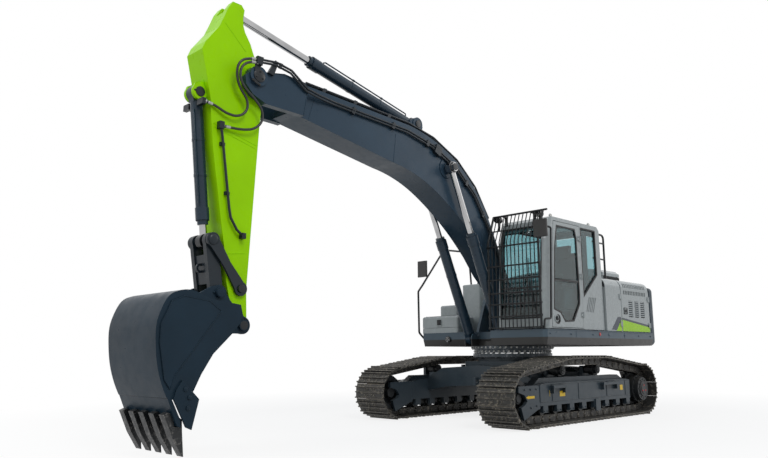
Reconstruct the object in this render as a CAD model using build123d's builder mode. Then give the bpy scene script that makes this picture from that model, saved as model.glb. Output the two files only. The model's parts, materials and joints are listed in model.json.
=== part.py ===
"""Crawler excavator of the 22 tonne class, as an assembly of named pieces.

Frame: x forward, y to the cab side, z up; the origin is on the ground under the slew axis.
Sizes are in millimetres. A point written (x, z) lies in a plane seen from the right side.
"""

from build123d import *
import os
from math import atan2, cos, degrees, hypot, pi, radians, sin

os.makedirs("parts", exist_ok=True)

# ---------------------------------------------------------------- driving dimensions
# undercarriage
GAUGE = 2363
SHOE_WIDTH = 600
SHOES_PER_TRACK = 46
GROUSER = 26
SHOE_PLATE = 12
LINK_HEIGHT = 100
IDLER = (1765, 392)
SPROCKET = (-1665, 400)
CARRIERS = [(595, 736), (-430, 736)]
LOWER_ROLLERS = [1200 - 349 * i for i in range(8)]
TRACK_Y = GAUGE / 2

# house
DECK_BOTTOM = 1105
DECK_CREASE = 1212
DECK_TOP = 1325
HALF_WIDTH = 1360
TAIL_RADIUS = 2850
WEIGHT_FRONT = -2300
HOOD_Z = 2195
DOOR_Y = 1332

# cab
CAB_RIGHT = 432
CAB_LEFT = 1302
CAB_TOP = 3000
CAB_WALL = 45

# linkage: pins as (x, z), angles above level
BOOM_FOOT = (158, 1777)
BOOM_ANGLE = 24.99
BOOM_LENGTH = 5717
BOOM_HALF = 210
ARM_ANGLE = -88.45
ARM_LENGTH = 2894
ARM_HALF = 165
LIFT_FOOT = (702, 1221)
LIFT_PIN = (2372, 1048)
LIFT_Y = 306
REACH_PIN = (3105, 1370)
ARM_HORN = (-805, 235)
CURL_PIN = (330, 640)
GUIDE_PIN = (2493, 36)
ROD_PIN = (1991, 419)
LINK_PIN = (2562, 315)


def at(origin, angle, x, y):
    """Machine (x, z) of a point given in a link's own frame."""
    a = radians(angle)
    return (origin[0] + x * cos(a) - y * sin(a), origin[1] + x * sin(a) + y * cos(a))


def heading(p, q):
    """Angle above level of the line from p to q."""
    return degrees(atan2(q[1] - p[1], q[0] - p[0]))


def span(p, q):
    """Distance between two (x, z) points."""
    return hypot(q[0] - p[0], q[1] - p[1])


ARM_FOOT = at(BOOM_FOOT, BOOM_ANGLE, BOOM_LENGTH, 0)
BUCKET_PIN = at(ARM_FOOT, ARM_ANGLE, ARM_LENGTH, 0)
BOOM = (BOOM_FOOT, BOOM_ANGLE)
ARM = (ARM_FOOT, ARM_ANGLE)
LEVEL = ((0, 0), 0)


def side(frame=LEVEL, y=0.0):
    """Sketch plane at y in a link's frame: local x along the link, local y square to it."""
    (x, z), angle = frame
    a = radians(angle)
    return Plane(origin=(x, y, z), x_dir=(cos(a), 0, sin(a)), z_dir=(0, -1, 0))


def across(frame, y=0.0):
    """Sketch plane square to a link at its origin, facing along the link."""
    (x, z), angle = frame
    a = radians(angle)
    return Plane(origin=(x, y, z), x_dir=(0, 1, 0), z_dir=(cos(a), 0, sin(a)))


def plate(points, y0, y1, frame=LEVEL):
    """Solid with the side outline points, from y0 to y1."""
    with BuildPart(mode=Mode.PRIVATE) as solid:
        with BuildSketch(side(frame, (y0 + y1) / 2)):
            with BuildLine():
                Polyline(*points, close=True)
            make_face()
        extrude(amount=abs(y1 - y0) / 2, both=True)
    return solid.part


def disc(centre, radius, y0, y1, frame=LEVEL, bore=0.0):
    """Boss, pin or ring about an axis across the machine."""
    with BuildPart(mode=Mode.PRIVATE) as solid:
        with BuildSketch(side(frame, (y0 + y1) / 2)):
            with Locations(centre):
                Circle(radius)
                if bore:
                    Circle(bore, mode=Mode.SUBTRACT)
        extrude(amount=abs(y1 - y0) / 2, both=True)
    return solid.part


def block(x0, x1, y0, y1, z0, z1, edge=0.0):
    """Box between two corners, its upright edges rounded by edge."""
    with BuildPart(mode=Mode.PRIVATE) as solid:
        with Locations(((x0 + x1) / 2, (y0 + y1) / 2, (z0 + z1) / 2)):
            Box(abs(x1 - x0), abs(y1 - y0), abs(z1 - z0))
        if edge:
            fillet(solid.edges().filter_by(Axis.Z), edge)
    return solid.part


def tube(points, radius, bend=60.0, bore=0.0):
    """Round bar or pipe through points, with rounded bends."""
    with BuildPart(mode=Mode.PRIVATE) as solid:
        with BuildLine() as path:
            if len(points) > 2:
                FilletPolyline(*points, radius=bend)
            else:
                Line(*points)
        with BuildSketch(Plane(origin=path.line @ 0, z_dir=path.line % 0)):
            Circle(radius)
            if bore:
                Circle(bore, mode=Mode.SUBTRACT)
        sweep(path=path.line)
    return solid.part


def save(builder, name):
    """Write one finished piece."""
    solid = builder.part
    solid.label = name
    export_step(solid, f"parts/{name}.step")


# ---------------------------------------------------------------- tracks
PITCH_DROP = GROUSER + SHOE_PLATE + LINK_HEIGHT / 2
BELT = [
    (IDLER, IDLER[1] - PITCH_DROP),
    (SPROCKET, SPROCKET[1] - PITCH_DROP),
    (CARRIERS[0], 70 + LINK_HEIGHT / 2),
    (CARRIERS[1], 70 + LINK_HEIGHT / 2),
]


def belt_line(wheels, steps=120):
    """Tight line round the wheels, as points going forward along the ground."""
    cloud = sorted({
        (round(c[0] + r * cos(2 * pi * i / steps), 3), round(c[1] + r * sin(2 * pi * i / steps), 3))
        for c, r in wheels for i in range(steps)
    })

    def half(points):
        chain = []
        for p in points:
            while len(chain) > 1 and (
                (chain[-1][0] - chain[-2][0]) * (p[1] - chain[-2][1])
                - (chain[-1][1] - chain[-2][1]) * (p[0] - chain[-2][0])
            ) <= 0:
                chain.pop()
            chain.append(p)
        return chain[:-1]

    return half(cloud) + half(cloud[::-1])


def evenly(line, count):
    """Points and headings at equal steps round a closed line."""
    closed = line + [line[0]]
    legs = [span(a, b) for a, b in zip(closed, closed[1:])]
    step = sum(legs) / count
    result, walked, leg = [], 0.0, 0
    for i in range(count):
        while walked + legs[leg] < i * step:
            walked += legs[leg]
            leg += 1
        t = (i * step - walked) / legs[leg]
        a, b = closed[leg], closed[leg + 1]
        result.append((a[0] + t * (b[0] - a[0]), a[1] + t * (b[1] - a[1])))
    frames = []
    for i, p in enumerate(result):
        before, after = result[i - 1], result[(i + 1) % count]
        frames.append((p, heading(before, after)))
    return frames, step


belt = belt_line(BELT)
shoe_frames, SHOE_PITCH = evenly(belt, SHOES_PER_TRACK)
HALF_SHOE = SHOE_PITCH / 2 - 4
# one triple-bar shoe, x along the track and height above the chain
SHOE_OUTLINE = [
    (-HALF_SHOE, 0), (-HALF_SHOE, 36), (-HALF_SHOE + 14, 38), (-HALF_SHOE + 24, 12),
    (-14, 12), (-6, 36), (6, 36), (14, 12),
    (HALF_SHOE - 24, 12), (HALF_SHOE - 14, 38), (HALF_SHOE, 36), (HALF_SHOE, 0),
]

# the ground run goes forward, so outward is to the right of the heading
track_outer = []
for place, angle in shoe_frames:
    for along, height in SHOE_OUTLINE:
        track_outer.append(at(place, angle, along, -(height + LINK_HEIGHT / 2)))
track_inner = [
    at(place, angle, -SHOE_PITCH / 2, -LINK_HEIGHT / 2 + 1) for place, angle in shoe_frames
]
chain_outer = belt_line([(centre, radius + LINK_HEIGHT / 2 - 3) for centre, radius in BELT], 24)
chain_inner = belt_line([(centre, radius - LINK_HEIGHT / 2) for centre, radius in BELT], 24)

for name, y in [("track_left", TRACK_Y), ("track_right", -TRACK_Y)]:
    with BuildPart() as track:
        with BuildSketch(side(LEVEL, y)):
            with BuildLine():
                Polyline(*track_outer, close=True)
            make_face()
            with BuildLine():
                Polyline(*track_inner, close=True)
            make_face(mode=Mode.SUBTRACT)
        extrude(amount=SHOE_WIDTH / 2, both=True)
        for rail in (-72, 72):
            with BuildSketch(side(LEVEL, y + rail)):
                with BuildLine():
                    Polyline(*chain_outer, close=True)
                make_face()
                with BuildLine():
                    Polyline(*chain_inner, close=True)
                make_face(mode=Mode.SUBTRACT)
            extrude(amount=20, both=True)
    save(track, name)

# ---------------------------------------------------------------- wheels and rollers
IDLER_RADIUS = IDLER[1] - PITCH_DROP - LINK_HEIGHT / 2 - 8
with BuildPart() as idlers:
    for y in (-TRACK_Y, TRACK_Y):
        add(disc(IDLER, IDLER_RADIUS, y - 95, y + 95, bore=IDLER_RADIUS - 70))
        add(disc(IDLER, IDLER_RADIUS + 26, y - 46, y + 46, bore=IDLER_RADIUS - 40))
        add(disc(IDLER, IDLER_RADIUS - 60, y - 22, y + 22))
        add(disc(IDLER, 78, y - 108, y + 108))
save(idlers, "front_idlers")

SPROCKET_TEETH = 21
with BuildPart() as sprockets:
    for y in (-TRACK_Y, TRACK_Y):
        with BuildSketch(side(LEVEL, y)):
            with Locations(SPROCKET):
                Circle(250)
                with PolarLocations(268, SPROCKET_TEETH):
                    Trapezoid(44, 74, 74, rotation=-90)
        extrude(amount=22, both=True)
        out = 1 if y > 0 else -1
        for radius, start, end in [(215, -60, 150), (185, 150, 232), (120, 232, 246), (150, -180, -60)]:
            add(disc(SPROCKET, radius, y + out * start, y + out * end))
save(sprockets, "drive_sprockets")

with BuildPart() as rollers:
    for y in (-TRACK_Y, TRACK_Y):
        for x in LOWER_ROLLERS:
            add(disc((x, 216), 76, y - 105, y + 105))
            add(disc((x, 216), 92, y - 48, y + 48))
            add(disc((x, 216), 40, y - 111, y + 111))
        for centre in CARRIERS:
            add(disc(centre, 68, y - 100, y + 100))
            add(disc(centre, 82, y - 45, y + 45))
            add(disc(centre, 36, y - 118, y + 100))
save(rollers, "track_rollers")

# ---------------------------------------------------------------- track frames
FRAME_SIDE = [(-1320, 312), (-1320, 560), (-1120, 575), (1180, 575), (1335, 545), (1335, 312)]
GUARD_SIDE = [(1335, 235), (1335, 545), (1440, 552), (1840, 550), (1840, 470), (1700, 430),
              (1640, 350), (1700, 300), (1790, 270), (1724, 104), (1387, 229)]
with BuildPart() as frames:
    for s in (-1, 1):
        y = s * TRACK_Y
        add(plate(FRAME_SIDE, y - 170, y + 170))
        add(plate([(-1320, 560), (-1120, 640), (1180, 640), (1335, 545)], y - 60, y + 60))
        for lug in (-1, 1):
            add(plate(GUARD_SIDE, y + lug * 118, y + lug * 168))
            add(block(-1320, 1335, y + lug * 150, y + lug * 170, 270, 320))
        for x in LOWER_ROLLERS:
            for lug in (-1, 1):
                add(block(x - 60, x + 60, y + lug * 112, y + lug * 168, 176, 314))
        for x, z in CARRIERS:
            add(block(x - 90, x + 90, y - 168, y - 118, 560, 790))
        for x0, x1 in [(710, 1070), (-840, -360)]:
            add(block(x0, x1, y + s * 165, y + s * 230, 500, 540))
            for x in (x0 + 25, x1 - 25):
                add(block(x - 12, x + 12, y + s * 165, y + s * 220, 430, 500))
        add(plate([(-300, 130), (-300, 300), (-160, 300), (-160, 130)], y + s * 168, y + s * 190))
        with BuildSketch(side(LEVEL, y - s * 140)):
            with Locations((-1500, 410)):
                RectangleRounded(460, 330, 60)
            with Locations(SPROCKET):
                Circle(151, mode=Mode.SUBTRACT)
        extrude(amount=30, both=True)
save(frames, "track_frames")

# ---------------------------------------------------------------- centre frame and slew ring
# cross beams: front and rear, seen from the front as (y, z) half outlines
BEAM_HALF = [(0, 500), (620, 470), (1010, 400), (1010, 600), (700, 760), (0, 800)]
with BuildPart() as centre:
    add(block(-620, 620, -560, 560, 520, 860, edge=120))
    with Locations((0, 0, 890)):
        Cylinder(560, 70)
    for x0, x1 in [(600, 960), (-960, -600)]:
        outline = BEAM_HALF + [(-y, z) for y, z in reversed(BEAM_HALF) if y]
        with BuildSketch(Plane.YZ.offset(x0)):
            with BuildLine():
                Polyline(*outline, close=True)
            make_face()
        extrude(amount=x1 - x0)
    for sx in (-1, 1):
        for sy in (-1, 1):
            with BuildSketch(Plane.XY.offset(500)):
                with BuildLine():
                    Polyline((sx * 380, sy * 560), (sx * 620, sy * 480), (sx * 960, sy * 980),
                             (sx * 640, sy * 980), close=True)
                make_face()
            extrude(amount=190)
    for sx in (-1, 1):
        with BuildSketch(Plane.XZ.offset(-25)):
            with Locations((sx * 985, 560)):
                Rectangle(110, 120)
            with Locations((sx * 1000, 560)):
                Circle(30, mode=Mode.SUBTRACT)
        extrude(amount=50)
save(centre, "centre_frame")

with BuildPart() as ring:
    with Locations((0, 0, 955)):
        Cylinder(640, 60)
        Cylinder(480, 60, mode=Mode.SUBTRACT)
    with Locations((0, 0, 917)):
        with PolarLocations(605, 36):
            Cylinder(15, 16)
save(ring, "slew_ring_lower")

with BuildPart() as upper_ring:
    with Locations((0, 0, 1020)):
        Cylinder(620, 54)
    with Locations((0, 0, 1075)):
        Cylinder(660, 56)
    with Locations((0, 0, 1048)):
        Cylinder(480, 110, mode=Mode.SUBTRACT)
save(upper_ring, "slew_ring_upper")

# ---------------------------------------------------------------- house frame
DECK = [(1135, 402), (1135, 1310), (1085, HALF_WIDTH), (WEIGHT_FRONT, HALF_WIDTH),
        (WEIGHT_FRONT, -HALF_WIDTH), (665, -HALF_WIDTH), (715, -1310), (715, -425), (585, -425), (585, 402)]
with BuildPart() as house:
    with BuildSketch(Plane.XY.offset(DECK_CREASE)):
        with BuildLine():
            Polyline(*DECK, close=True)
        make_face()
    extrude(amount=DECK_TOP - DECK_CREASE)
    with BuildSketch(Plane.XY.offset(DECK_CREASE)):
        with BuildLine():
            Polyline(*DECK, close=True)
        make_face()
    extrude(amount=-(DECK_CREASE - DECK_BOTTOM), taper=12)
    with BuildSketch(Plane.XY.offset(DECK_BOTTOM)):
        with BuildLine():
            Polyline(*DECK, close=True)
        make_face()
        offset(amount=-55, mode=Mode.REPLACE, kind=Kind.INTERSECTION)
    extrude(amount=150, mode=Mode.SUBTRACT)
    for y in (-345, 345):
        add(block(WEIGHT_FRONT + 20, 560, y - 30, y + 30, DECK_BOTTOM, DECK_TOP))
    for x in (-1850, -1250, -640, 250):
        add(block(x - 40, x + 40, -1290, 1290, DECK_BOTTOM + 30, DECK_TOP - 10))
    with Locations((0, 0, 1140)):
        Cylinder(640, 70)
    # boom foot brackets
    for s in (-1, 1):
        add(plate([(-620, DECK_TOP - 20), (520, DECK_TOP - 20), (330, 1760), (240, 1900),
                   (70, 1925), (-20, 1860)], s * 291, s * 341))
        add(disc(BOOM_FOOT, 150, s * 288, s * 352))
        # lift cylinder feet
        for inner, outer in ((226, 242), (358, 382)):
            add(plate([(480, DECK_BOTTOM), (480, DECK_TOP), (555, DECK_TOP), (612, 1262),
                       (787, LIFT_FOOT[1]), (770, DECK_BOTTOM)], s * inner, s * outer))
            add(disc(LIFT_FOOT, 86, s * inner, s * outer))
        add(disc(LIFT_FOOT, 42, s * 226, s * 382))
    add(disc(BOOM_FOOT, 60, -352, 352))
save(house, "house_frame")

# ---------------------------------------------------------------- counterweight
with BuildPart() as weight:
    with BuildSketch(Plane.XY.offset(DECK_BOTTOM)):
        Circle(TAIL_RADIUS)
        with Locations((WEIGHT_FRONT + 3000 - 5, 0)):
            Rectangle(6000, 6000, mode=Mode.SUBTRACT)
        for s in (-1, 1):
            with Locations((0, s * (HALF_WIDTH + 975))):
                Rectangle(6000, 2000, mode=Mode.SUBTRACT)
    extrude(amount=2120 - DECK_BOTTOM)
    fillet(weight.edges().filter_by(Axis.Z).group_by(Axis.X)[0], 240)
    fillet(weight.faces().sort_by(Axis.Z)[-1].edges().sort_by(Axis.X)[:3], 70)
    fillet(weight.faces().sort_by(Axis.Z)[0].edges().sort_by(Axis.X)[:3], 90)
    for y in (-620, 620):
        with BuildSketch(Plane.XZ.offset(-y - 30)):
            with Locations((-2560, 2130)):
                SlotOverall(180, 120, rotation=90)
            with Locations((-2560, 2160)):
                Circle(32, mode=Mode.SUBTRACT)
        extrude(amount=60)
save(weight, "counterweight")

# ---------------------------------------------------------------- engine bay
with BuildPart() as engine:
    add(block(-2150, -1050, -330, 330, DECK_TOP + 40, 2040, edge=60))
    add(block(-1950, -1250, -700, -330, DECK_TOP + 40, 1850))
    for x in (-2000, -1200):
        for y in (-240, 240):
            add(block(x - 50, x + 50, y - 50, y + 50, DECK_TOP, DECK_TOP + 45))
save(engine, "engine_block")

HOOD = (-1900, -1300, -1000, 1000)
DOOR_BEND = 150


def bent_sheet(x0, x1, z0, s, thickness=14):
    """Side panel that rounds over into the top, on the left (s=1) or right (s=-1)."""
    bend = (DOOR_Y - DOOR_BEND, HOOD_Z - DOOR_BEND)
    middle = DOOR_BEND * (1 - sin(pi / 4))
    inner_middle = middle + thickness * sin(pi / 4)
    with BuildPart(mode=Mode.PRIVATE) as panel:
        with BuildSketch(Plane.YZ.offset(x0)):
            with BuildLine():
                Line((s * DOOR_Y, z0), (s * DOOR_Y, bend[1]))
                ThreePointArc((s * DOOR_Y, bend[1]), (s * (DOOR_Y - middle), HOOD_Z - middle),
                              (s * bend[0], HOOD_Z))
                Line((s * bend[0], HOOD_Z), (s * bend[0], HOOD_Z - thickness))
                ThreePointArc((s * bend[0], HOOD_Z - thickness),
                              (s * (DOOR_Y - inner_middle), HOOD_Z - inner_middle),
                              (s * (DOOR_Y - thickness), bend[1]))
                Line((s * (DOOR_Y - thickness), bend[1]), (s * (DOOR_Y - thickness), z0))
                Line((s * (DOOR_Y - thickness), z0), (s * DOOR_Y, z0))
            make_face()
        extrude(amount=x1 - x0)
    return panel.part


with BuildPart() as bay:
    # walls behind the cab and in front of the counterweight
    for y0, y1 in [(384, DOOR_Y - 42), (-DOOR_Y + 42, 384)]:
        add(block(-745, -722, y0, y1, DECK_TOP, HOOD_Z - DOOR_BEND))
    add(block(-745, -722, -DOOR_Y + DOOR_BEND + 60, DOOR_Y - DOOR_BEND - 60, DECK_TOP, HOOD_Z - 30))
    # posts between the doors
    for x0, x1 in [(-1250, -1232), (-2290, -2272)]:
        for s in (-1, 1):
            add(block(x0, x1, s * (DOOR_Y - 60), s * (DOOR_Y - 4), DECK_TOP, 2030))
            add(block(x0, x1, s * 1000, s * (DOOR_Y - 58), 1990, 2030))
            add(block(x0, x1, s * 1000, s * 1040, 1990, HOOD_Z - 20))
    # top panels round the hood
    with BuildSketch(Plane.XY.offset(HOOD_Z - 30)):
        with Locations(((-2290 - 722) / 2, 0)):
            Rectangle(2290 - 722, 2 * (DOOR_Y - DOOR_BEND - 6))
        with Locations(((HOOD[0] + HOOD[1]) / 2, 0)):
            Rectangle(HOOD[1] - HOOD[0] - 40, HOOD[3] - HOOD[2] - 40, mode=Mode.SUBTRACT)
    extrude(amount=30)
    # fixed panel behind the fuel tank
    add(bent_sheet(-1226, -724, DECK_TOP, -1))
    add(block(-1226, -724, -DOOR_Y + DOOR_BEND, -DOOR_Y + DOOR_BEND + 10, HOOD_Z - 30, HOOD_Z))
    # collar under the hood
    for x0, x1, y0, y1 in [(HOOD[0], HOOD[0] + 16, HOOD[2], HOOD[3]),
                           (HOOD[1] - 16, HOOD[1], HOOD[2], HOOD[3]),
                           (HOOD[0], HOOD[1], HOOD[2], HOOD[2] + 16),
                           (HOOD[0], HOOD[1], HOOD[3] - 16, HOOD[3])]:
        add(block(x0, x1, y0, y1, HOOD_Z - 5, HOOD_Z + 90))
    # hinge eyes of the hood
    for y in (-600, 600):
        add(disc((HOOD[0] - 18, HOOD_Z + 98), 14, y - 90, y - 34))
        add(disc((HOOD[0] - 18, HOOD_Z + 98), 14, y + 34, y + 90))
        for y0 in (y - 90, y + 34):
            add(block(HOOD[0] - 30, HOOD[0] + 2, y0, y0 + 56, HOOD_Z - 5, HOOD_Z + 92))
save(bay, "engine_bay_panels")

HOOD_EDGE = HOOD[3]
with BuildPart() as hood:
    with BuildSketch(Plane.YZ.offset(HOOD[0] + 4)):
        with BuildLine():
            Polyline((HOOD_EDGE, HOOD_Z + 96), (HOOD_EDGE, HOOD_Z + 150), (HOOD_EDGE - 80, HOOD_Z + 205))
            ThreePointArc((HOOD_EDGE - 80, HOOD_Z + 205), (0, HOOD_Z + 265), (80 - HOOD_EDGE, HOOD_Z + 205))
            Polyline((80 - HOOD_EDGE, HOOD_Z + 205), (-HOOD_EDGE, HOOD_Z + 150), (-HOOD_EDGE, HOOD_Z + 96),
                     (30 - HOOD_EDGE, HOOD_Z + 96), (30 - HOOD_EDGE, HOOD_Z + 140),
                     (95 - HOOD_EDGE, HOOD_Z + 180))
            ThreePointArc((95 - HOOD_EDGE, HOOD_Z + 180), (0, HOOD_Z + 240), (HOOD_EDGE - 95, HOOD_Z + 180))
            Polyline((HOOD_EDGE - 95, HOOD_Z + 180), (HOOD_EDGE - 30, HOOD_Z + 140),
                     (HOOD_EDGE - 30, HOOD_Z + 96), (HOOD_EDGE, HOOD_Z + 96))
        make_face()
    extrude(amount=HOOD[1] - HOOD[0] - 8)
    for y in (-600, 600):
        add(disc((HOOD[0] - 18, HOOD_Z + 98), 14, y - 28, y + 28))
        add(block(HOOD[0] - 24, HOOD[0] + 8, y - 28, y + 28, HOOD_Z + 98, HOOD_Z + 112))
        add(block(HOOD[0] + 4, HOOD[0] + 16, y - 28, y + 28, HOOD_Z + 98, HOOD_Z + 220))
    # end walls
    for x in (HOOD[0] + 4, HOOD[1] - 14):
        add(block(x, x + 10, HOOD[2] + 60, HOOD[3] - 60, HOOD_Z + 120, HOOD_Z + 200))
        add(block(x, x + 10, HOOD[2] + 10, HOOD[3] - 10, HOOD_Z + 100, HOOD_Z + 130))
save(hood, "engine_hood")

DOOR_Z0 = DECK_TOP + 8


def door_panel(x0, x1, s, hinge_x):
    """Hinged side door with turned-in ends and two hinge knuckles on its upright axis."""
    with BuildPart(mode=Mode.PRIVATE) as panel:
        add(bent_sheet(x0, x1, DOOR_Z0, s))
        for end in (x0, x1 - 12):
            add(block(end, end + 12, s * (DOOR_Y - 40), s * (DOOR_Y - 2), DOOR_Z0, 2030))
        inward = 1 if hinge_x < (x0 + x1) / 2 else -1
        for z in (1450, 1900):
            with Locations((hinge_x, s * HINGE_Y, z)):
                Cylinder(9, 90)
            add(block(hinge_x, hinge_x + inward * 46, s * (DOOR_Y - 2), s * (HINGE_Y + 3), z - 40, z + 40))
    return panel.part


HINGE_Y = DOOR_Y + 12
with BuildPart() as front_door:
    add(door_panel(-1226, -724, 1, -1228))
    # free end trimmed so that its turned-in top swings clear of the cab
    with Locations((-1228, HINGE_Y, 1760)):
        Cylinder(520, 1000, mode=Mode.INTERSECT)
save(front_door, "left_front_door")

with BuildPart() as rear_door:
    add(door_panel(-2266, -1256, 1, -2268))
    # cooling slots: a row in the rounded top edge and a row below it
    for i in range(14):
        x = -1370 - 60 * i
        for z0, z1 in [(2062, 2128), (1946, 2012)]:
            add(plate([(x, z0), (x + 34, z0), (x + 24, z1), (x - 10, z1)], DOOR_Y - 90, DOOR_Y + 20),
                mode=Mode.SUBTRACT)
    # three columns of louvres
    for x in (-1580, -1800, -2020):
        add(block(x - 75, x + 75, DOOR_Y - 50, DOOR_Y + 20, 1575, 1850), mode=Mode.SUBTRACT)
        for i in range(8):
            z = 1592 + 34 * i
            add(plate([(x - 82, z), (x + 82, z), (x + 82, z + 16), (x - 82, z + 16)],
                      DOOR_Y - 14, DOOR_Y - 2))
    add(block(-1420, -1340, DOOR_Y - 4, DOOR_Y + 6, 1640, 1720))
save(rear_door, "left_rear_door")

with BuildPart() as pump_door:
    add(door_panel(-2266, -1256, -1, -2268))
    add(block(-2130, -2050, -DOOR_Y - 6, -DOOR_Y + 4, 1640, 1720))
    for i in range(8):
        z = 1592 + 34 * i
        add(block(-1900, -1420, -DOOR_Y - 20, -DOOR_Y + 50, z, z + 16), mode=Mode.SUBTRACT)
save(pump_door, "pump_door")

# ---------------------------------------------------------------- right side tanks and tool box
with BuildPart() as oil_tank:
    add(block(-722, 85, -955, -560, DECK_TOP, 2170, edge=40))
    fillet(oil_tank.faces().sort_by(Axis.Z)[-1].edges(), 25)
    with Locations((-350, -760, 2180)):
        Cylinder(60, 30)
save(oil_tank, "hydraulic_tank")

with BuildPart() as fuel:
    add(block(-722, 220, -HALF_WIDTH, -965, DECK_TOP, 1820, edge=45))
    fillet(fuel.faces().sort_by(Axis.Z)[-1].edges(), 40)
    with Locations((-200, -1160, 1830)):
        Cylinder(55, 30)
save(fuel, "fuel_tank")

BOX = (246, 703, -HALF_WIDTH + 4, -572)
BOX_SEAM = 1410
BOX_TOP = 1604
LID_PIN = (233, BOX_TOP + 2)
with BuildPart() as box:
    add(block(*BOX, DECK_TOP, BOX_SEAM, edge=40))
    add(block(BOX[0] + 20, BOX[1] - 20, BOX[2] + 20, BOX[3] - 20, DECK_TOP + 20, BOX_SEAM + 20),
        mode=Mode.SUBTRACT)
    for y in (-1180, -760):
        for y0 in (y - 80, y + 34):
            add(disc(LID_PIN, 8, y0, y0 + 46))
            add(block(LID_PIN[0] - 7, LID_PIN[0] + 7, y0, y0 + 46, 1370, LID_PIN[1]))
            add(block(LID_PIN[0] - 7, BOX[0] + 6, y0, y0 + 46, 1370, BOX_SEAM - 2))
save(box, "tool_box")

with BuildPart() as lid:
    add(block(*BOX, BOX_SEAM + 4, BOX_TOP, edge=40))
    fillet(lid.faces().sort_by(Axis.Z)[-1].edges(), 38)
    add(block(BOX[0] + 20, BOX[1] - 20, BOX[2] + 20, BOX[3] - 20, BOX_SEAM - 20, BOX_TOP - 20),
        mode=Mode.SUBTRACT)
    for y in (-1180, -760):
        add(disc(LID_PIN, 8, y - 28, y + 28))
        add(block(LID_PIN[0], BOX[0] + 90, y - 28, y + 28, BOX_TOP - 2, BOX_TOP + 9))
    add(block(BOX[1] - 2, BOX[1] + 14, -1010, -910, 1440, 1500, edge=0))
save(lid, "tool_box_lid")

# ---------------------------------------------------------------- cab
CAB_SIDE = [(-700, DECK_TOP + 15), (1030, DECK_TOP + 15), (1010, 1700), (940, 2660), (850, CAB_TOP - 60),
            (760, CAB_TOP), (-600, CAB_TOP), (-668, CAB_TOP - 60)]
CAB_INSIDE = [(-650, DECK_TOP + 60), (975, DECK_TOP + 60), (960, 1700), (890, 2660), (810, CAB_TOP - 100),
              (740, CAB_TOP - 50), (-570, CAB_TOP - 50), (-615, CAB_TOP - 100)]
DOOR_OPENING = [(-38, 1352), (862, 1352), (760, 2560), (715, 2945), (-38, 2945)]
DOOR_SHAPE = [(-30, 1360), (852, 1360), (752, 2560), (708, 2937), (-30, 2937)]
DOOR_WINDOW = [(636, 2885), (94, 2885), (51, 2743), (28, 1852), (41, 1719), (238, 1452),
               (499, 1437), (621, 1567), (800, 1614), (720, 2523)]
REAR_QUARTER = [(-70, 2930), (-543, 2930), (-549, 2206), (-85, 1829)]
RIGHT_WINDOW = [(850, 1640), (790, 2560), (740, 2900), (-560, 2900), (-560, 1800), (-300, 1640)]
with BuildPart() as cab:
    with BuildSketch(side(LEVEL, (CAB_RIGHT + CAB_LEFT) / 2)):
        with BuildLine():
            Polyline(*CAB_SIDE, close=True)
        make_face()
    extrude(amount=(CAB_LEFT - CAB_RIGHT) / 2, both=True)
    front_edges = [e for e in cab.edges() if abs(e.center().Y - CAB_RIGHT) < 1 or
                   abs(e.center().Y - CAB_LEFT) < 1]
    front_edges = [e for e in front_edges if e.center().X > 840 and e.center().Z < CAB_TOP - 80
                   and abs(e.tangent_at(0.5).Z) > 0.9]
    fillet(front_edges, 110)
    with BuildSketch(side(LEVEL, (CAB_RIGHT + CAB_LEFT) / 2)):
        with BuildLine():
            Polyline(*CAB_INSIDE, close=True)
        make_face()
    extrude(amount=(CAB_LEFT - CAB_RIGHT) / 2 - CAB_WALL, both=True, mode=Mode.SUBTRACT)
    add(plate(DOOR_OPENING, CAB_LEFT - 80, CAB_LEFT + 20), mode=Mode.SUBTRACT)
    add(plate(REAR_QUARTER, CAB_LEFT - 80, CAB_LEFT + 20), mode=Mode.SUBTRACT)
    add(plate(RIGHT_WINDOW, CAB_RIGHT - 20, CAB_RIGHT + 80), mode=Mode.SUBTRACT)
    add(block(850, 1100, CAB_RIGHT + 75, CAB_LEFT - 75, 1480, 2860), mode=Mode.SUBTRACT)
    add(block(-760, -560, CAB_RIGHT + 90, CAB_LEFT - 90, 1830, 2880), mode=Mode.SUBTRACT)
    add(block(-50, 520, CAB_RIGHT + 140, CAB_LEFT - 140, CAB_TOP - 80, CAB_TOP + 20),
        mode=Mode.SUBTRACT)
    # lifting eyes
    for x in (680, -450):
        add(disc((x, CAB_TOP + 24), 32, 1236, 1250, bore=17))
    # rear vent slots
    for i in range(5):
        x = -240 - 50 * i
        add(plate([(x, 1840), (x - 26, 1840), (x + 74, 1610), (x + 100, 1610)],
                  CAB_LEFT - 60, CAB_LEFT + 20), mode=Mode.SUBTRACT)
    # rubber mounts under the floor
    for x in (-600, 900):
        for y in (CAB_RIGHT + 90, CAB_LEFT - 90):
            add(block(x - 50, x + 50, y - 50, y + 50, DECK_TOP, DECK_TOP + 20))
save(cab, "cab_shell")

with BuildPart() as glass:
    add(plate([(-78, 2922), (-535, 2922), (-541, 2210), (-93, 1845)], CAB_LEFT - 28, CAB_LEFT - 22))
    add(plate([(842, 1650), (782, 2560), (733, 2890), (-550, 2890), (-550, 1806), (-298, 1650)],
              CAB_RIGHT + 22, CAB_RIGHT + 28))
    add(plate([(998, 1490), (1004, 1490), (942, 2560), (875, 2850), (869, 2850), (936, 2560)],
              CAB_RIGHT + 80, CAB_LEFT - 80))
    add(block(-668, -662, CAB_RIGHT + 98, CAB_LEFT - 98, 1838, 2872))
    add(block(-42, 512, CAB_RIGHT + 148, CAB_LEFT - 148, CAB_TOP - 30, CAB_TOP - 24))
save(glass, "cab_windows")

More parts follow.
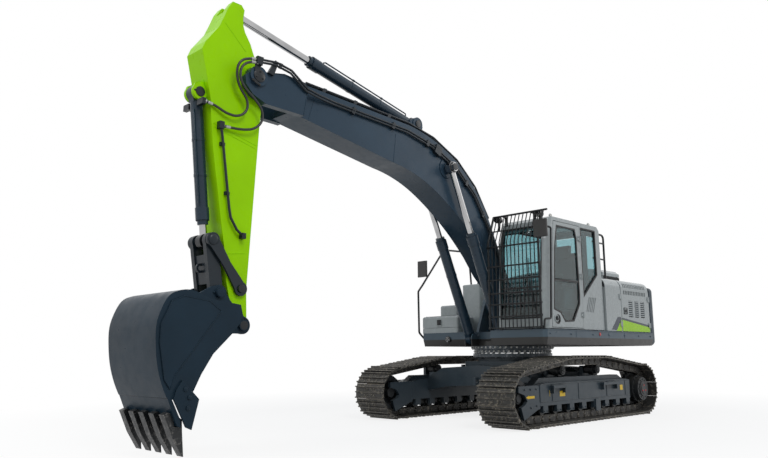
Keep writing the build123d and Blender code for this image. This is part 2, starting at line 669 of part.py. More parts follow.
with BuildPart() as door:
    add(plate(DOOR_SHAPE, CAB_LEFT - 38, CAB_LEFT + 2))
    add(plate(DOOR_WINDOW, CAB_LEFT - 60, CAB_LEFT + 20), mode=Mode.SUBTRACT)
    add(plate([(20, 2045), (20, 2075), (780, 2070), (782, 2040)], CAB_LEFT - 26, CAB_LEFT - 4))
    add(disc((742, 1486), 52, CAB_LEFT - 20, CAB_LEFT + 14))
    add(disc((742, 1486), 38, CAB_LEFT - 4, CAB_LEFT + 20), mode=Mode.SUBTRACT)
    for z in (1560, 2150, 2740):
        with Locations((-34, CAB_LEFT + 16, z)):
            Cylinder(11, 90)
        add(block(-34, 22, CAB_LEFT - 2, CAB_LEFT + 12, z - 40, z + 40))
save(door, "cab_door")

with BuildPart() as door_glass:
    add(plate([(630, 2877), (102, 2877), (60, 2743), (54, 2082), (748, 2080), (712, 2523)],
              CAB_LEFT - 18, CAB_LEFT - 12))
    add(plate([(38, 1852), (50, 1722), (244, 1461), (494, 1446), (616, 1576), (790, 1623),
               (752, 2033), (52, 2038)], CAB_LEFT - 18, CAB_LEFT - 12))
save(door_glass, "cab_door_glass")

CAB_MID = (CAB_RIGHT + CAB_LEFT) / 2
with BuildPart() as seat:
    add(block(-180, 300, CAB_MID - 250, CAB_MID + 250, 1760, 1880, edge=60))
    add(plate([(-190, 1860), (-70, 1860), (-160, 2420), (-230, 2560), (-330, 2540), (-300, 2400)],
              CAB_MID - 240, CAB_MID + 240))
    add(block(-120, 220, CAB_MID - 180, CAB_MID + 180, DECK_TOP + 61, 1765))
    for s in (-1, 1):
        add(block(-120, 380, CAB_MID + s * 262, CAB_MID + s * 372, 1640, 1960, edge=30))
        add(tube([(330, CAB_MID + s * 317, 1940), (350, CAB_MID + s * 317, 2130)], 16))
        with Locations((352, CAB_MID + s * 317, 2150)):
            Sphere(32)
        add(tube([(740, CAB_MID + s * 90, DECK_TOP + 66), (720, CAB_MID + s * 90, 1900)], 12))
        add(block(660, 800, CAB_MID + s * 90 - 55, CAB_MID + s * 90 + 55, DECK_TOP + 61,
                  DECK_TOP + 90))
save(seat, "cab_seat_and_levers")

GUARD_X = 1150
GUARD_Y = (420, 1308)
with BuildPart() as guard:
    for y in GUARD_Y:
        add(tube([(GUARD_X, y, 1335), (GUARD_X, y, 2640), (985, y, 3065)], 17, bend=120))
    for z in (1352, 1518, 1700, 1864, 2067, 2270, 2570):
        add(tube([(GUARD_X, GUARD_Y[0], z), (GUARD_X, GUARD_Y[1], z)], 12))
    for i in range(1, 13):
        y = GUARD_Y[0] + (GUARD_Y[1] - GUARD_Y[0]) * i / 13
        add(tube([(GUARD_X, y, 1345), (GUARD_X, y, 2640), (985, y, 3065)], 8, bend=120))
    add(tube([(985, GUARD_Y[0] - 8, 3065), (985, GUARD_Y[1] + 68, 3065)], 15))
    add(tube([(1080, GUARD_Y[0], 2820), (1080, GUARD_Y[1], 2820)], 10))
    for y in (GUARD_Y[0] + 190, GUARD_Y[1] - 190):
        add(block(900, 985, y - 20, y + 20, 3040, 3062))
        add(block(900, 930, y - 20, y + 20, CAB_TOP - 90, 3045))
        add(block(1120, 1150, y - 25, y + 25, DECK_TOP, 1350))
save(guard, "cab_front_guard")

# ---------------------------------------------------------------- rails, mirrors, lamps
with BuildPart() as rails:
    add(tube([(975, 1302, 2830), (880, 1362, 2810), (982, 1362, 1475), (1120, 1345, 1465),
              (1120, 1330, 1330)], 15, bend=30))
    # boarding rail on the right, up to the roof line and back to the bay wall
    add(tube([(640, -1360, 1256), (640, -1384, 1256)], 17))
    add(tube([(628, -1384, 1248), (745, -1384, 1341), (755, -1384, 2045), (650, -1384, 2155),
              (130, -1384, 2745), (-105, -1384, 2850), (-420, -1384, 2862), (-660, -1370, 2862),
              (-660, -1290, 1822)], 17, bend=50))
    # post behind the cab with two brackets to its back wall
    add(tube([(-700, 1160, 3020 - 80), (-1085, 1160, 2930), (-1085, 1160, HOOD_Z)], 17, bend=70))
    add(tube([(-700, 1160, 2790), (-1085, 1160, 2790)], 13))
    add(tube([(-700, 1160, 2520), (-1085, 1160, 2520)], 13))
    # aerial on the oil tank
    with Locations((-325, -900, 2230)):
        Cone(34, 12, 120)
    add(tube([(-325, -900, 2285), (-325, -900, 2900)], 7))
save(rails, "handrails")

with BuildPart() as mirrors:
    # left on the cab's front pillar, right on the handrail
    add(tube([(930, 1300, 2740), (1180, 1480, 2740), (1340, 1480, 2740)], 10, bend=40))
    add(block(1330, 1372, 1370, 1590, 2600, 2850, edge=14))
    add(tube([(500, -1402, 2330), (500, -1480, 2340), (500, -1500, 2460)], 10, bend=40))
    add(block(480, 522, -1610, -1402, 2325, 2610, edge=14))
save(mirrors, "mirrors")

with BuildPart() as lamps:
    for y in (462, 1200):
        add(tube([(880, y, 3030), (955, y, 3030)], 52))
        add(plate([(900, 2850), (915, 2850), (915, 3000), (880, 3000)], y - 15, y + 15))
    add(tube([(716, -760, 1215), (740, -760, 1215)], 50))
save(lamps, "work_lamps")

with BuildPart() as stack:
    add(tube([(-2125, -560, 2300), (-2125, -560, 2400), (-2235, -560, 2450)], 50, bend=60, bore=44))
    add(tube([(-2125, -560, HOOD_Z), (-2125, -560, 2301)], 64))
save(stack, "exhaust_pipe")

# ---------------------------------------------------------------- boom
# each row of an edge is an arc: start, middle, end
BOOM_BELLY = [((1045, 317), (1850, 532), (2490, 597)), ((2490, 597), (2930, 566), (3354, 458))]
BOOM_BACK = [((3332, 1150), (2790, 1283), (2190, 1300)), ((2190, 1300), (1640, 1160), (1140, 888))]


def boom_outline(y=0.0):
    """Side face of the boom box, in the boom's frame, on a plane at y."""
    with BuildSketch(side(BOOM, y), mode=Mode.PRIVATE) as sk:
        with BuildLine():
            for start, middle, end in BOOM_BELLY + BOOM_BACK:
                ThreePointArc(start, middle, end)
            Polyline(BOOM_BELLY[-1][-1], (5005, -8), (5159, -59), (5150, 395), BOOM_BACK[0][0])
            Polyline(BOOM_BACK[-1][-1], (160, 145), (-60, 130), (-60, -60), (100, -60), (358, 71),
                     (692, 162), BOOM_BELLY[0][0])
        make_face()
    return sk.sketch


FORK = [(4960, 5), (5198, -100), (5474, -224), (5672, -239), (5808, -187), (5861, -99), (5820, 21),
        (5744, 71), (5596, 158), (5425, 285), (5130, 395), (5060, 380)]
with BuildPart() as boom:
    extrude(boom_outline(), amount=BOOM_HALF, both=True)
    for s in (-1, 1):
        add(plate(FORK, s * 178, s * 266, BOOM))
        add(disc((BOOM_LENGTH, 0), 120, s * 178, s * 293, BOOM))
        add(disc(LIFT_PIN, 146, s * 150, s * 218, BOOM))
        add(disc(LIFT_PIN, 84, s * 150, s * 248, BOOM))
        add(disc((0, 0), 155, s * 150, s * 282, BOOM))
        add(plate([(2950, 1180), (3290, 1130), (3225, 1390), (3105, 1480), (2990, 1400)],
                  s * 84, s * 116, BOOM))
        add(disc(REACH_PIN, 100, s * 84, s * 128, BOOM))
    add(disc((BOOM_LENGTH, 0), 600, -178, 178, BOOM), mode=Mode.SUBTRACT)
    add(disc((0, 0), 66, -400, 400, BOOM), mode=Mode.SUBTRACT)
    add(disc((BOOM_LENGTH, 0), 52, -293, 293, BOOM))
save(boom, "boom")

# hoses over the arm joint: along the arm, forward of it, outward; one of each on either side
HOSE = 12.5
OUTER_HOSE = [(-176, 78, 312), (-150, 215, 310), (-45, 305, 296), (95, 290, 270), (215, 225, 255),
              (322, 108, 247), (462, 108, 240), (550, 225, 228), (538, 375, 212), (482, 485, 196),
              (465, 590, 188)]
INNER_HOSE = [(-136, 78, 312), (-118, 170, 312), (-25, 262, 302), (105, 262, 292), (205, 180, 284),
              (290, 30, 272), (395, -95, 260), (535, -105, 248), (640, -5, 236), (678, 125, 225),
              (690, 250, 212), (693, 355, 205)]


def arm_point(point, s):
    """World place of a point given along the arm, forward of it and outward."""
    x, z = at(*ARM, point[0], point[1])
    return (x, s * point[2], z)


def ferrule(end, inner, length, s):
    """Crimped sleeve that runs on from a hose's end, away from the hose."""
    end, inner = Vector(*arm_point(end, s)), Vector(*arm_point(inner, s))
    with BuildPart(mode=Mode.PRIVATE) as sleeve:
        with BuildSketch(Plane(origin=end, z_dir=end - inner)):
            Circle(HOSE + 4)
        extrude(amount=length)
    return sleeve.part


def bend_radii(points):
    """Radius of each bend, from the shorter run beside it."""
    radii = []
    for a, b, c in zip(points, points[1:], points[2:]):
        before, after = Vector(*b) - Vector(*a), Vector(*c) - Vector(*b)
        turn = radians(before.get_angle(after))
        radii.append(0.45 * min(before.length, after.length) / (sin(turn / 2) / cos(turn / 2)))
    return radii


# pipes, in the boom's frame: two pairs on its back, and a pair down each side to the arm's hoses
BACK_RUN = [(1150, 935), (1640, 1215), (2190, 1352), (2790, 1338), (3332, 1198), (5080, 472)]
SIDE_RUN = [(5812, 150, 312), (5600, 285, 312), (5380, 350, 306), (5080, 318, 290), (4880, 384, 270),
            (4600, 500, 238), (3332, 1025, 238), (2790, 1158, 238), (2190, 1175, 238),
            (1640, 1035, 238), (1180, 775, 238), (700, 440, 238)]
PIPE = 14
with BuildPart() as pipes:
    for y in (-190, -152, 152, 190):
        line = [at(*BOOM, x, z) for x, z in BACK_RUN]
        add(tube([(x, y, z) for x, z in line], PIPE, bend=150))
    for s in (-1, 1):
        for drop in (-20, 20):
            line = [(*at(*BOOM, x, z + drop), s * y) for x, z, y in SIDE_RUN]
            add(tube([(x, y, z) for x, z, y in line], PIPE, bend=60))
        # clips on the back and on the side
        for x, z in [(3700, 999), (4300, 750), (4800, 542)]:
            add(plate([(x - 25, z + 12), (x + 25, z - 9), (x + 25, z + 52), (x - 25, z + 73)],
                      s * 132, s * 208, BOOM))
        for x, z in [(4300, 624), (3600, 915), (2900, 1131), (1900, 1101), (1350, 871)]:
            add(plate([(x - 25, z - 48), (x + 25, z - 48), (x + 25, z + 48), (x - 25, z + 48)],
                      s * BOOM_HALF, s * 256, BOOM))
        # shut-off block at the knee and the hose fittings on the fork
        add(plate([(2610, 1095), (2740, 1095), (2740, 1235), (2610, 1235)], s * BOOM_HALF, s * 268, BOOM))
        add(plate([(5560, 135), (5640, 118), (5625, 325), (5575, 325)], s * 266, s * 304, BOOM))
        add(plate([(5735, 30), (5800, 5), (5845, 120), (5770, 150)], s * 293, s * 306, BOOM))
        add(plate([(5755, 112), (5830, 92), (5862, 176), (5785, 212)], s * 293, s * 336, BOOM))
        for route in (OUTER_HOSE, INNER_HOSE):
            add(ferrule(route[0], route[1], 32, s))
save(pipes, "boom_pipes")

# ---------------------------------------------------------------- cylinders


def barrel(foot, eye, length, radius, y, bore, eye_half=46, eye_radius=90, neck=100):
    """Cylinder body, open towards the rod, from its foot eye to its gland."""
    frame = (foot, heading(foot, eye))
    with BuildPart(mode=Mode.PRIVATE) as body:
        add(disc((0, 0), eye_radius, y - eye_half, y + eye_half, frame))
        add(plate([(0, -eye_radius + 12), (neck + 6, -radius + 8), (neck + 6, radius - 8),
                   (0, eye_radius - 12)], y - eye_half, y + eye_half, frame))
        add(disc((0, 0), 43, y - 90, y + 90, frame), mode=Mode.SUBTRACT)
        # start, end, radius
        for start, end, size, join in [(neck, length - 50, radius, Mode.ADD),
                                       (length - 190, length - 50, radius + 8, Mode.ADD),
                                       (length - 51, length, radius - 8, Mode.ADD),
                                       (neck + 40, length + 2, bore, Mode.SUBTRACT)]:
            with BuildSketch(across(frame, y).offset(start)):
                Circle(size)
            extrude(amount=end - start, mode=join)
    return body.part


def piston(foot, eye, start, radius, y, eye_half=46, eye_radius=88, pin=0.0, pin_ends=None):
    """Rod from inside the barrel to its eye, with its own pin if one is given."""
    angle = heading(foot, eye)
    reach = span(foot, eye)
    frame = (foot, angle)
    with BuildPart(mode=Mode.PRIVATE) as rod:
        with BuildSketch(across(frame, y).offset(start)):
            Circle(radius)
        extrude(amount=reach - eye_radius + 20 - start)
        add(disc((reach, 0), eye_radius, y - eye_half, y + eye_half, frame))
        if pin:
            add(disc((reach, 0), pin, *pin_ends, frame))
    return rod.part


LIFT_EYE = at(*BOOM, *LIFT_PIN)
LIFT_BARREL = span(LIFT_FOOT, LIFT_EYE) - 1040
with BuildPart() as lift_barrels:
    for s in (-1, 1):
        add(barrel(LIFT_FOOT, LIFT_EYE, LIFT_BARREL, 80, s * LIFT_Y, 55))
save(lift_barrels, "boom_cylinder_barrels")
with BuildPart() as lift_rods:
    for s in (-1, 1):
        add(piston(LIFT_FOOT, LIFT_EYE, LIFT_BARREL - 560, 44, s * LIFT_Y,
                   pin=64, pin_ends=(s * 280, s * 392)))
save(lift_rods, "boom_cylinder_rods")

REACH_FOOT = at(*BOOM, *REACH_PIN)
REACH_EYE = at(*ARM, *ARM_HORN)
with BuildPart() as reach_barrel:
    add(barrel(REACH_FOOT, REACH_EYE, 2040, 78, 0, 58, eye_half=76))
    add(disc(REACH_FOOT, 42, -76, 76))
save(reach_barrel, "arm_cylinder_barrel")
with BuildPart() as reach_rod:
    add(piston(REACH_FOOT, REACH_EYE, 1345, 49, 0, pin=44, pin_ends=(-64, 64)))
save(reach_rod, "arm_cylinder_rod")

CURL_FOOT = at(*ARM, *CURL_PIN)
CURL_EYE = at(*ARM, *ROD_PIN)
with BuildPart() as curl_barrel:
    add(barrel(CURL_FOOT, CURL_EYE, 1490, 68, 0, 49, eye_half=52))
    add(disc(CURL_FOOT, 44, -52, 52))
save(curl_barrel, "bucket_cylinder_barrel")
with BuildPart() as curl_rod:
    add(piston(CURL_FOOT, CURL_EYE, 205, 41, 0, eye_radius=80))
save(curl_rod, "bucket_cylinder_rod")

# ---------------------------------------------------------------- arm
ARM_BACK = [(-859, 332), (-859, 212), (-808, 168), (-705, 179), (-610, 173), (-538, 146), (-416, 62),
            (-297, 9), (-166, -60), (144, -128), (300, -139), (590, -123), (2491, -58)]
ARM_FRONT = [(2894, -86), (2954, -61), (2980, 0), (2954, 61), (2894, 86), (2740, 122),
             (2430, 206), (2113, 246), (1764, 319), (941, 478), (495, 538), (420, 541), (-150, 690),
             (-255, 650), (-480, 495), (-640, 432), (-770, 385)]
with BuildPart() as arm:
    add(plate(ARM_BACK + ARM_FRONT, -ARM_HALF, ARM_HALF, ARM))
    # side plates sit inside the cover plates
    for s in (-1, 1):
        add(disc((0, 0), 130, s * 150, s * 172, ARM))
        add(disc((ARM_LENGTH, 0), 84, s * 100, s * 172, ARM))
        add(plate([(180, 560), (425, 520), (410, 690), (330, 732), (245, 705)], s * 58, s * 90, ARM))
        add(disc(CURL_PIN, 92, s * 58, s * 98, ARM))
    add(disc(ARM_HORN, 182, -70, 70, ARM), mode=Mode.SUBTRACT)
    add(disc(CURL_PIN, 110, -57, 57, ARM), mode=Mode.SUBTRACT)
    add(disc((0, 0), 54, -200, 200, ARM), mode=Mode.SUBTRACT)
    add(disc((ARM_LENGTH, 0), 42, -242, 242, ARM))
    add(disc(GUIDE_PIN, 38, -216, 216, ARM))
save(arm, "arm")

ARM_PIPE = [(715, 415), (783, 395), (1609, 250), (1718, 223), (1843, 135), (1901, 50)]
with BuildPart() as arm_pipe:
    for s in (-1, 1):
        line = [at(*ARM, u, v) for u, v in ARM_PIPE]
        add(tube([(x, s * 205, z) for x, z in line], 15, bend=35))
        add(plate([(1870, 25), (1935, 25), (1935, 75), (1870, 75)], s * 166, s * 232, ARM))
        for u, v in [(900, 372), (1450, 276)]:
            add(plate([(u - 20, v - 30), (u + 20, v - 30), (u + 20, v + 30), (u - 20, v + 30)],
                      s * 166, s * 196, ARM))
        # hose fittings: at the pipe's upper end and beside the bucket cylinder's foot
        add(plate([(650, 385), (735, 385), (735, 445), (650, 445)], s * ARM_HALF, s * 232, ARM))
        add(plate([(430, 622), (500, 622), (500, 668), (430, 668)], s * 90, s * 206, ARM))
        for route in (OUTER_HOSE, INNER_HOSE):
            add(ferrule(route[-1], route[-2], 32, s))
save(arm_pipe, "arm_pipes")

# ---------------------------------------------------------------- hoses over the arm joint
hose_volume = 0.0
with BuildPart() as hoses:
    for s in (-1, 1):
        for route in (OUTER_HOSE, INNER_HOSE):
            points = [arm_point(point, s) for point in route]
            radii = bend_radii(points)
            with BuildLine() as hose_path:
                FilletPolyline(*points, radius=radii)
            with BuildSketch(Plane(origin=hose_path.line @ 0, z_dir=hose_path.line % 0)):
                Circle(HOSE)
            sweep(path=hose_path.line)
            length = hose_path.wires()[0].length
            hose_volume += pi * HOSE ** 2 * length
            if s > 0:
                print("hose length", round(length), "bends", [round(r) for r in radii])
    print("hose volume", round(hoses.part.volume), "section times length", round(hose_volume))
save(hoses, "arm_hoses")

# ---------------------------------------------------------------- bucket linkage
GUIDE_EYE = at(*ARM, *GUIDE_PIN)
LINK_EYE = at(*ARM, *LINK_PIN)
with BuildPart() as guides:
    frame = (GUIDE_EYE, heading(GUIDE_EYE, CURL_EYE))
    reach = span(GUIDE_EYE, CURL_EYE)
    for s in (-1, 1):
        with BuildSketch(side(frame, s * 188)):
            Circle(80)
            with Locations((reach, 0)):
                Circle(80)
            with BuildLine():
                Polyline((0, -72), (reach / 2, -48), (reach, -72), (reach, 72), (reach / 2, 48),
                         (0, 72), close=True)
            make_face()
            Circle(39, mode=Mode.SUBTRACT)
        extrude(amount=15, both=True)
        add(disc((reach, 0), 38, s * 58, s * 216, frame))
save(guides, "guide_links")

with BuildPart() as link:
    frame = (CURL_EYE, heading(CURL_EYE, LINK_EYE))
    reach = span(CURL_EYE, LINK_EYE)
    for s in (-1, 1):
        with BuildSketch(side(frame, s * 134)):
            Circle(82)
            with Locations((reach, 0)):
                Circle(82)
            with BuildLine():
                Polyline((0, -76), (reach, -76), (reach, 76), (0, 76), close=True)
            make_face()
            Circle(39, mode=Mode.SUBTRACT)
        extrude(amount=32, both=True)
    add(plate([(150, -60), (reach - 110, -60), (reach - 110, 60), (150, 60)], -104, 104, frame))
    add(disc((reach, 0), 38, -172, 172, frame))
    with BuildSketch(side(frame, 0)):
        with Locations((reach / 2, 78)):
            Circle(52)
            Circle(28, mode=Mode.SUBTRACT)
    extrude(amount=15, both=True)
save(link, "bucket_link")

# ---------------------------------------------------------------- bucket
SHELL = [(2700, 230), (2685, 396), (2655, 620), (2600, 775), (2594, 880), (2618, 970), (2668, 1055),
         (2785, 1122), (2930, 1165), (3120, 1163), (3342, 1127), (3529, 1063), (3645, 1005)]
SHELL_IN = [(2712, 400), (2682, 632), (2627, 786), (2621, 880), (2642, 958), (2686, 1032), (2792, 1098),
            (2934, 1140), (3118, 1137), (3336, 1101), (3520, 1037), (3640, 975)]
MOUTH = [(3660, 955), (3640, 775), (3577, 724), (3417, 650), (3216, 528), (3018, 330), (2889, 222),
         (2813, 197)]
BUCKET_HALF = 510
EAR = (178, 218)
with BuildPart() as bucket:
    with BuildSketch(side(ARM)):
        with BuildLine():
            Spline(*SHELL[:6])
            Spline(*SHELL[5:])
            Polyline(SHELL[-1], *MOUTH, SHELL[0])
        make_face()
    extrude(amount=BUCKET_HALF, both=True)
    with BuildSketch(side(ARM)):
        with BuildLine():
            Spline(*SHELL_IN[:5])
            Spline(*SHELL_IN[4:])
            Polyline(SHELL_IN[-1], (3800, 875), (3700, 475), (3000, 25), (2790, 165), (2790, 275),
                     SHELL_IN[0])
        make_face()
    extrude(amount=BUCKET_HALF - 22, both=True, mode=Mode.SUBTRACT)
    # lip plate
    add(plate([(3600, 1020), (3640, 960), (3850, 847), (3920, 841), (3905, 880)],
              -BUCKET_HALF, BUCKET_HALF, ARM))
    for s in (-1, 1):
        # hinge ears either side of the arm end and the link, capped over the link's pin
        add(plate([(2840, -76), (2894, -92), (2962, -62), (2985, 20), (2990, 310), (2800, 240),
                   (2700, 455), (2650, 665), (2575, 540), (2495, 400), (2480, 315), (2552, 240),
                   (2700, 120)], s * EAR[0], s * EAR[1], ARM))
        add(disc((ARM_LENGTH, 0), 96, s * EAR[0], s * EAR[1], ARM))
        add(disc((ARM_LENGTH, 0), 62, s * EAR[0], s * (EAR[1] + 28), ARM))
        add(disc(LINK_PIN, 86, s * EAR[0], s * EAR[1], ARM))
        add(disc(LINK_PIN, 56, s * EAR[0], s * (EAR[1] + 28), ARM))
        add(disc((ARM_LENGTH, 0), 43, s * 150, s * 300, ARM), mode=Mode.SUBTRACT)
        # wear plate and cutter on each side
        add(plate([(2690, 615), (2782, 475), (3429, 947), (3560, 985), (3470, 1050), (3120, 1125),
                   (2945, 1125), (2715, 1025), (2662, 900)],
                  s * BUCKET_HALF, s * (BUCKET_HALF + 12), ARM))
        add(plate([(3474, 866), (3657, 671), (3946, 734), (3921, 794), (3651, 947), (3563, 923)],
                  s * BUCKET_HALF, s * (BUCKET_HALF + 25), ARM))
save(bucket, "bucket")

with BuildPart() as teeth:
    for i in (-2, -1, 0, 1, 2):
        with BuildSketch(side(ARM, 212.5 * i)):
            with BuildLine():
                Polyline((3780, 960), (3800, 910), (3915, 890), (3922, 835), (3830, 837), (3850, 810),
                         (3960, 800), (4198, 770), (4196, 783), (4020, 900), (3935, 940), (3800, 1005),
                         close=True)
            make_face()
        extrude(amount=48, both=True)
    add(bucket.part, mode=Mode.SUBTRACT)
save(teeth, "bucket_teeth")
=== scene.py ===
"""Looks of the crawler excavator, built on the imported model. Lengths are metres."""

import json
import math

import bmesh
import bpy
from mathutils import Matrix, Vector

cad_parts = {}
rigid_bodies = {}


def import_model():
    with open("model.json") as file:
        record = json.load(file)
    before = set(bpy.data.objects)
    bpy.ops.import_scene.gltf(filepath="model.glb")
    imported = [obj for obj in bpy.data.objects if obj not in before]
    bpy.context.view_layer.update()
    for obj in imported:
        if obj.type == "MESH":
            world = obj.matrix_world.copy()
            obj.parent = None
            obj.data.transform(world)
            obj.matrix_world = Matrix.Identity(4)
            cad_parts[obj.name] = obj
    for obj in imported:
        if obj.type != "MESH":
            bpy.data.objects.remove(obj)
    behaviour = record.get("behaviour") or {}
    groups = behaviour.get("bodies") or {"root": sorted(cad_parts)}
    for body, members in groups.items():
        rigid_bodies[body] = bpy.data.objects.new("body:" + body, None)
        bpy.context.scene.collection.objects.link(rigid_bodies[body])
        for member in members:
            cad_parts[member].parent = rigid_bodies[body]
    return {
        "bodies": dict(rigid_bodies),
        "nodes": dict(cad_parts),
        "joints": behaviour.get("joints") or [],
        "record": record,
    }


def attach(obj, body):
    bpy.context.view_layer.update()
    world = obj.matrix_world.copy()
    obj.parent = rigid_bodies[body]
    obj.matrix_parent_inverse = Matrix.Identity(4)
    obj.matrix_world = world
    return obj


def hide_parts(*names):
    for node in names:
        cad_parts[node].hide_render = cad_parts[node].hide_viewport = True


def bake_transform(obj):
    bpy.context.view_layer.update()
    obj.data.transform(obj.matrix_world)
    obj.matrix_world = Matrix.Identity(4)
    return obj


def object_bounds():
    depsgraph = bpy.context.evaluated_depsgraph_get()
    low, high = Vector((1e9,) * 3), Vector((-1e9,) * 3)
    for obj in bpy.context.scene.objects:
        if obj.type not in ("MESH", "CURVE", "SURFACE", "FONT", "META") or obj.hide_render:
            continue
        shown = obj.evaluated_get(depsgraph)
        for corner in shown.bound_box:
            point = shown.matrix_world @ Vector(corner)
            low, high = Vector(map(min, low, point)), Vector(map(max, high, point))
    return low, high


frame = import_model()
cad_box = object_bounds()
nodes = frame["nodes"]

# ---- colours
GREEN = (0.39, 0.83, 0.0)
DEEP_GREY = (0.028, 0.056, 0.088)
FRAME_GREY = (0.060, 0.092, 0.120)
PANEL_GREY = (0.365, 0.400, 0.405)
NAVY = (0.010, 0.022, 0.045)
BLACK = (0.011, 0.013, 0.015)
YELLOW = (0.85, 0.55, 0.02)


# ---- materials
MAT = {}


def tree(name):
    """New material with a plain principled shader, kept in MAT; returns nodes, links, shader."""
    m = MAT[name] = bpy.data.materials.new(name)
    m.use_nodes = True
    n = m.node_tree.nodes
    return n, m.node_tree.links, n["Principled BSDF"]


def part_place(n):
    """Socket of a place in the part's own space."""
    return n.new("ShaderNodeTexCoord").outputs["Object"]


def xyz(n, links, vector):
    """Sockets X, Y and Z of a vector."""
    split = n.new("ShaderNodeSeparateXYZ")
    links.new(vector, split.inputs["Vector"])
    return split.outputs


def noise(n, links, scale, detail, rough=0.55):
    """Noise texture in the part's own space; returns its factor socket."""
    tex = n.new("ShaderNodeTexNoise")
    tex.inputs["Scale"].default_value = scale
    tex.inputs["Detail"].default_value = detail
    tex.inputs["Roughness"].default_value = rough
    links.new(part_place(n), tex.inputs["Vector"])
    return tex.outputs["Fac"]


def ramp(n, links, factor, stops):
    """Colour ramp over a factor; stops are (position, colour)."""
    r = n.new("ShaderNodeValToRGB")
    r.color_ramp.elements[0].position, r.color_ramp.elements[1].position = stops[0][0], stops[-1][0]
    r.color_ramp.elements[0].color = (*stops[0][1], 1)
    r.color_ramp.elements[1].color = (*stops[-1][1], 1)
    for position, colour in stops[1:-1]:
        e = r.color_ramp.elements.new(position)
        e.color = (*colour, 1)
    links.new(factor, r.inputs["Fac"])
    return r.outputs["Color"]


def wander(n, links, scale, detail, one, two, start=0.3, end=0.7):
    """Colour that goes slowly between two over a surface."""
    return ramp(n, links, noise(n, links, scale, detail), [(start, one), (end, two)])


def span_map(n, links, factor, low, high, to_low, to_high):
    """Map a factor's range to another."""
    m = n.new("ShaderNodeMapRange")
    for key, value in zip(("From Min", "From Max", "To Min", "To Max"), (low, high, to_low, to_high)):
        m.inputs[key].default_value = value
    links.new(factor, m.inputs["Value"])
    return m.outputs["Result"]


def patchy(n, links, shader, scale, detail, low, high):
    """Roughness that goes between low and high over a surface."""
    links.new(span_map(n, links, noise(n, links, scale, detail), 0.3, 0.7, low, high),
              shader.inputs["Roughness"])


def rounded(n, links, radius, height, strength, distance):
    """Normal with softly rounded edges and a fine bump."""
    bevel = n.new("ShaderNodeBevel")
    bevel.inputs["Radius"].default_value = radius
    bevel.samples = 4
    bump = n.new("ShaderNodeBump")
    bump.inputs["Strength"].default_value = strength
    bump.inputs["Distance"].default_value = distance
    links.new(height, bump.inputs["Height"])
    links.new(bevel.outputs["Normal"], bump.inputs["Normal"])
    return bump.outputs["Normal"]


def times(n, links, one, two, operation="MULTIPLY"):
    """Product of two factors, or what another operation makes of them."""
    m = n.new("ShaderNodeMath")
    m.operation = operation
    links.new(one, m.inputs[0])
    links.new(two, m.inputs[1])
    return m.outputs[0]


def mixed(n, links, factor, low, high):
    """Colour between low and high by a factor; each is a socket or a plain colour."""
    mix = n.new("ShaderNodeMix")
    mix.data_type = "RGBA"
    links.new(factor, mix.inputs["Factor"])
    for key, value in (("A", low), ("B", high)):
        if isinstance(value, tuple):
            mix.inputs[key].default_value = (*value, 1)
        else:
            links.new(value, mix.inputs[key])
    return mix.outputs["Result"]


def seen_ray(n, links):
    """One for rays that show a background: seen directly, mirrored or through glass."""
    path = n.new("ShaderNodeLightPath")
    seen = path.outputs["Is Camera Ray"]
    for name in ("Is Glossy Ray", "Is Transmission Ray"):
        seen = times(n, links, seen, path.outputs[name], "MAXIMUM")
    return seen


def tint(colour, k):
    """Colour made lighter or darker."""
    return tuple(min(1.0, c * k) for c in colour)


def paint(name, colour, rough=0.28, coat=0.35, spread=0.10, dust=(0.20, 0.18, 0.15), dust_amount=0.0,
          shine=0.35):
    """Machine paint: slow tone change, fine orange peel, a little dust on top faces."""
    n, links, shader = tree(name)
    tone = wander(n, links, 1.7, 3, tint(colour, 1 - spread), tint(colour, 1 + spread))
    if dust_amount:
        normal = n.new("ShaderNodeNewGeometry").outputs["Normal"]
        up = span_map(n, links, xyz(n, links, normal)["Z"], 0.3, 1.0, 0.0, dust_amount)
        patch = span_map(n, links, noise(n, links, 6.0, 6), 0.35, 0.7, 0.2, 1.0)
        tone = mixed(n, links, times(n, links, up, patch), tone, dust)
    links.new(tone, shader.inputs["Base Color"])
    patchy(n, links, shader, 9.0, 5, rough * 0.8, rough * 1.25)
    links.new(rounded(n, links, 0.005, noise(n, links, 260.0, 2), 0.06, 0.0006), shader.inputs["Normal"])
    shader.inputs["Specular IOR Level"].default_value = shine
    shader.inputs["Coat Weight"].default_value = coat
    shader.inputs["Coat Roughness"].default_value = 0.08
    return n, links, shader, tone


def edge_wear(n, links, radius):
    """Factor that is one along outer edges and falls off within the radius."""
    bevel, geo = n.new("ShaderNodeBevel"), n.new("ShaderNodeNewGeometry")
    bevel.inputs["Radius"].default_value = radius
    bevel.samples = 6
    dot = n.new("ShaderNodeVectorMath")
    dot.operation = "DOT_PRODUCT"
    links.new(bevel.outputs["Normal"], dot.inputs[0])
    links.new(geo.outputs["Normal"], dot.inputs[1])
    return span_map(n, links, dot.outputs["Value"], 0.98, 0.80, 0.0, 1.0)


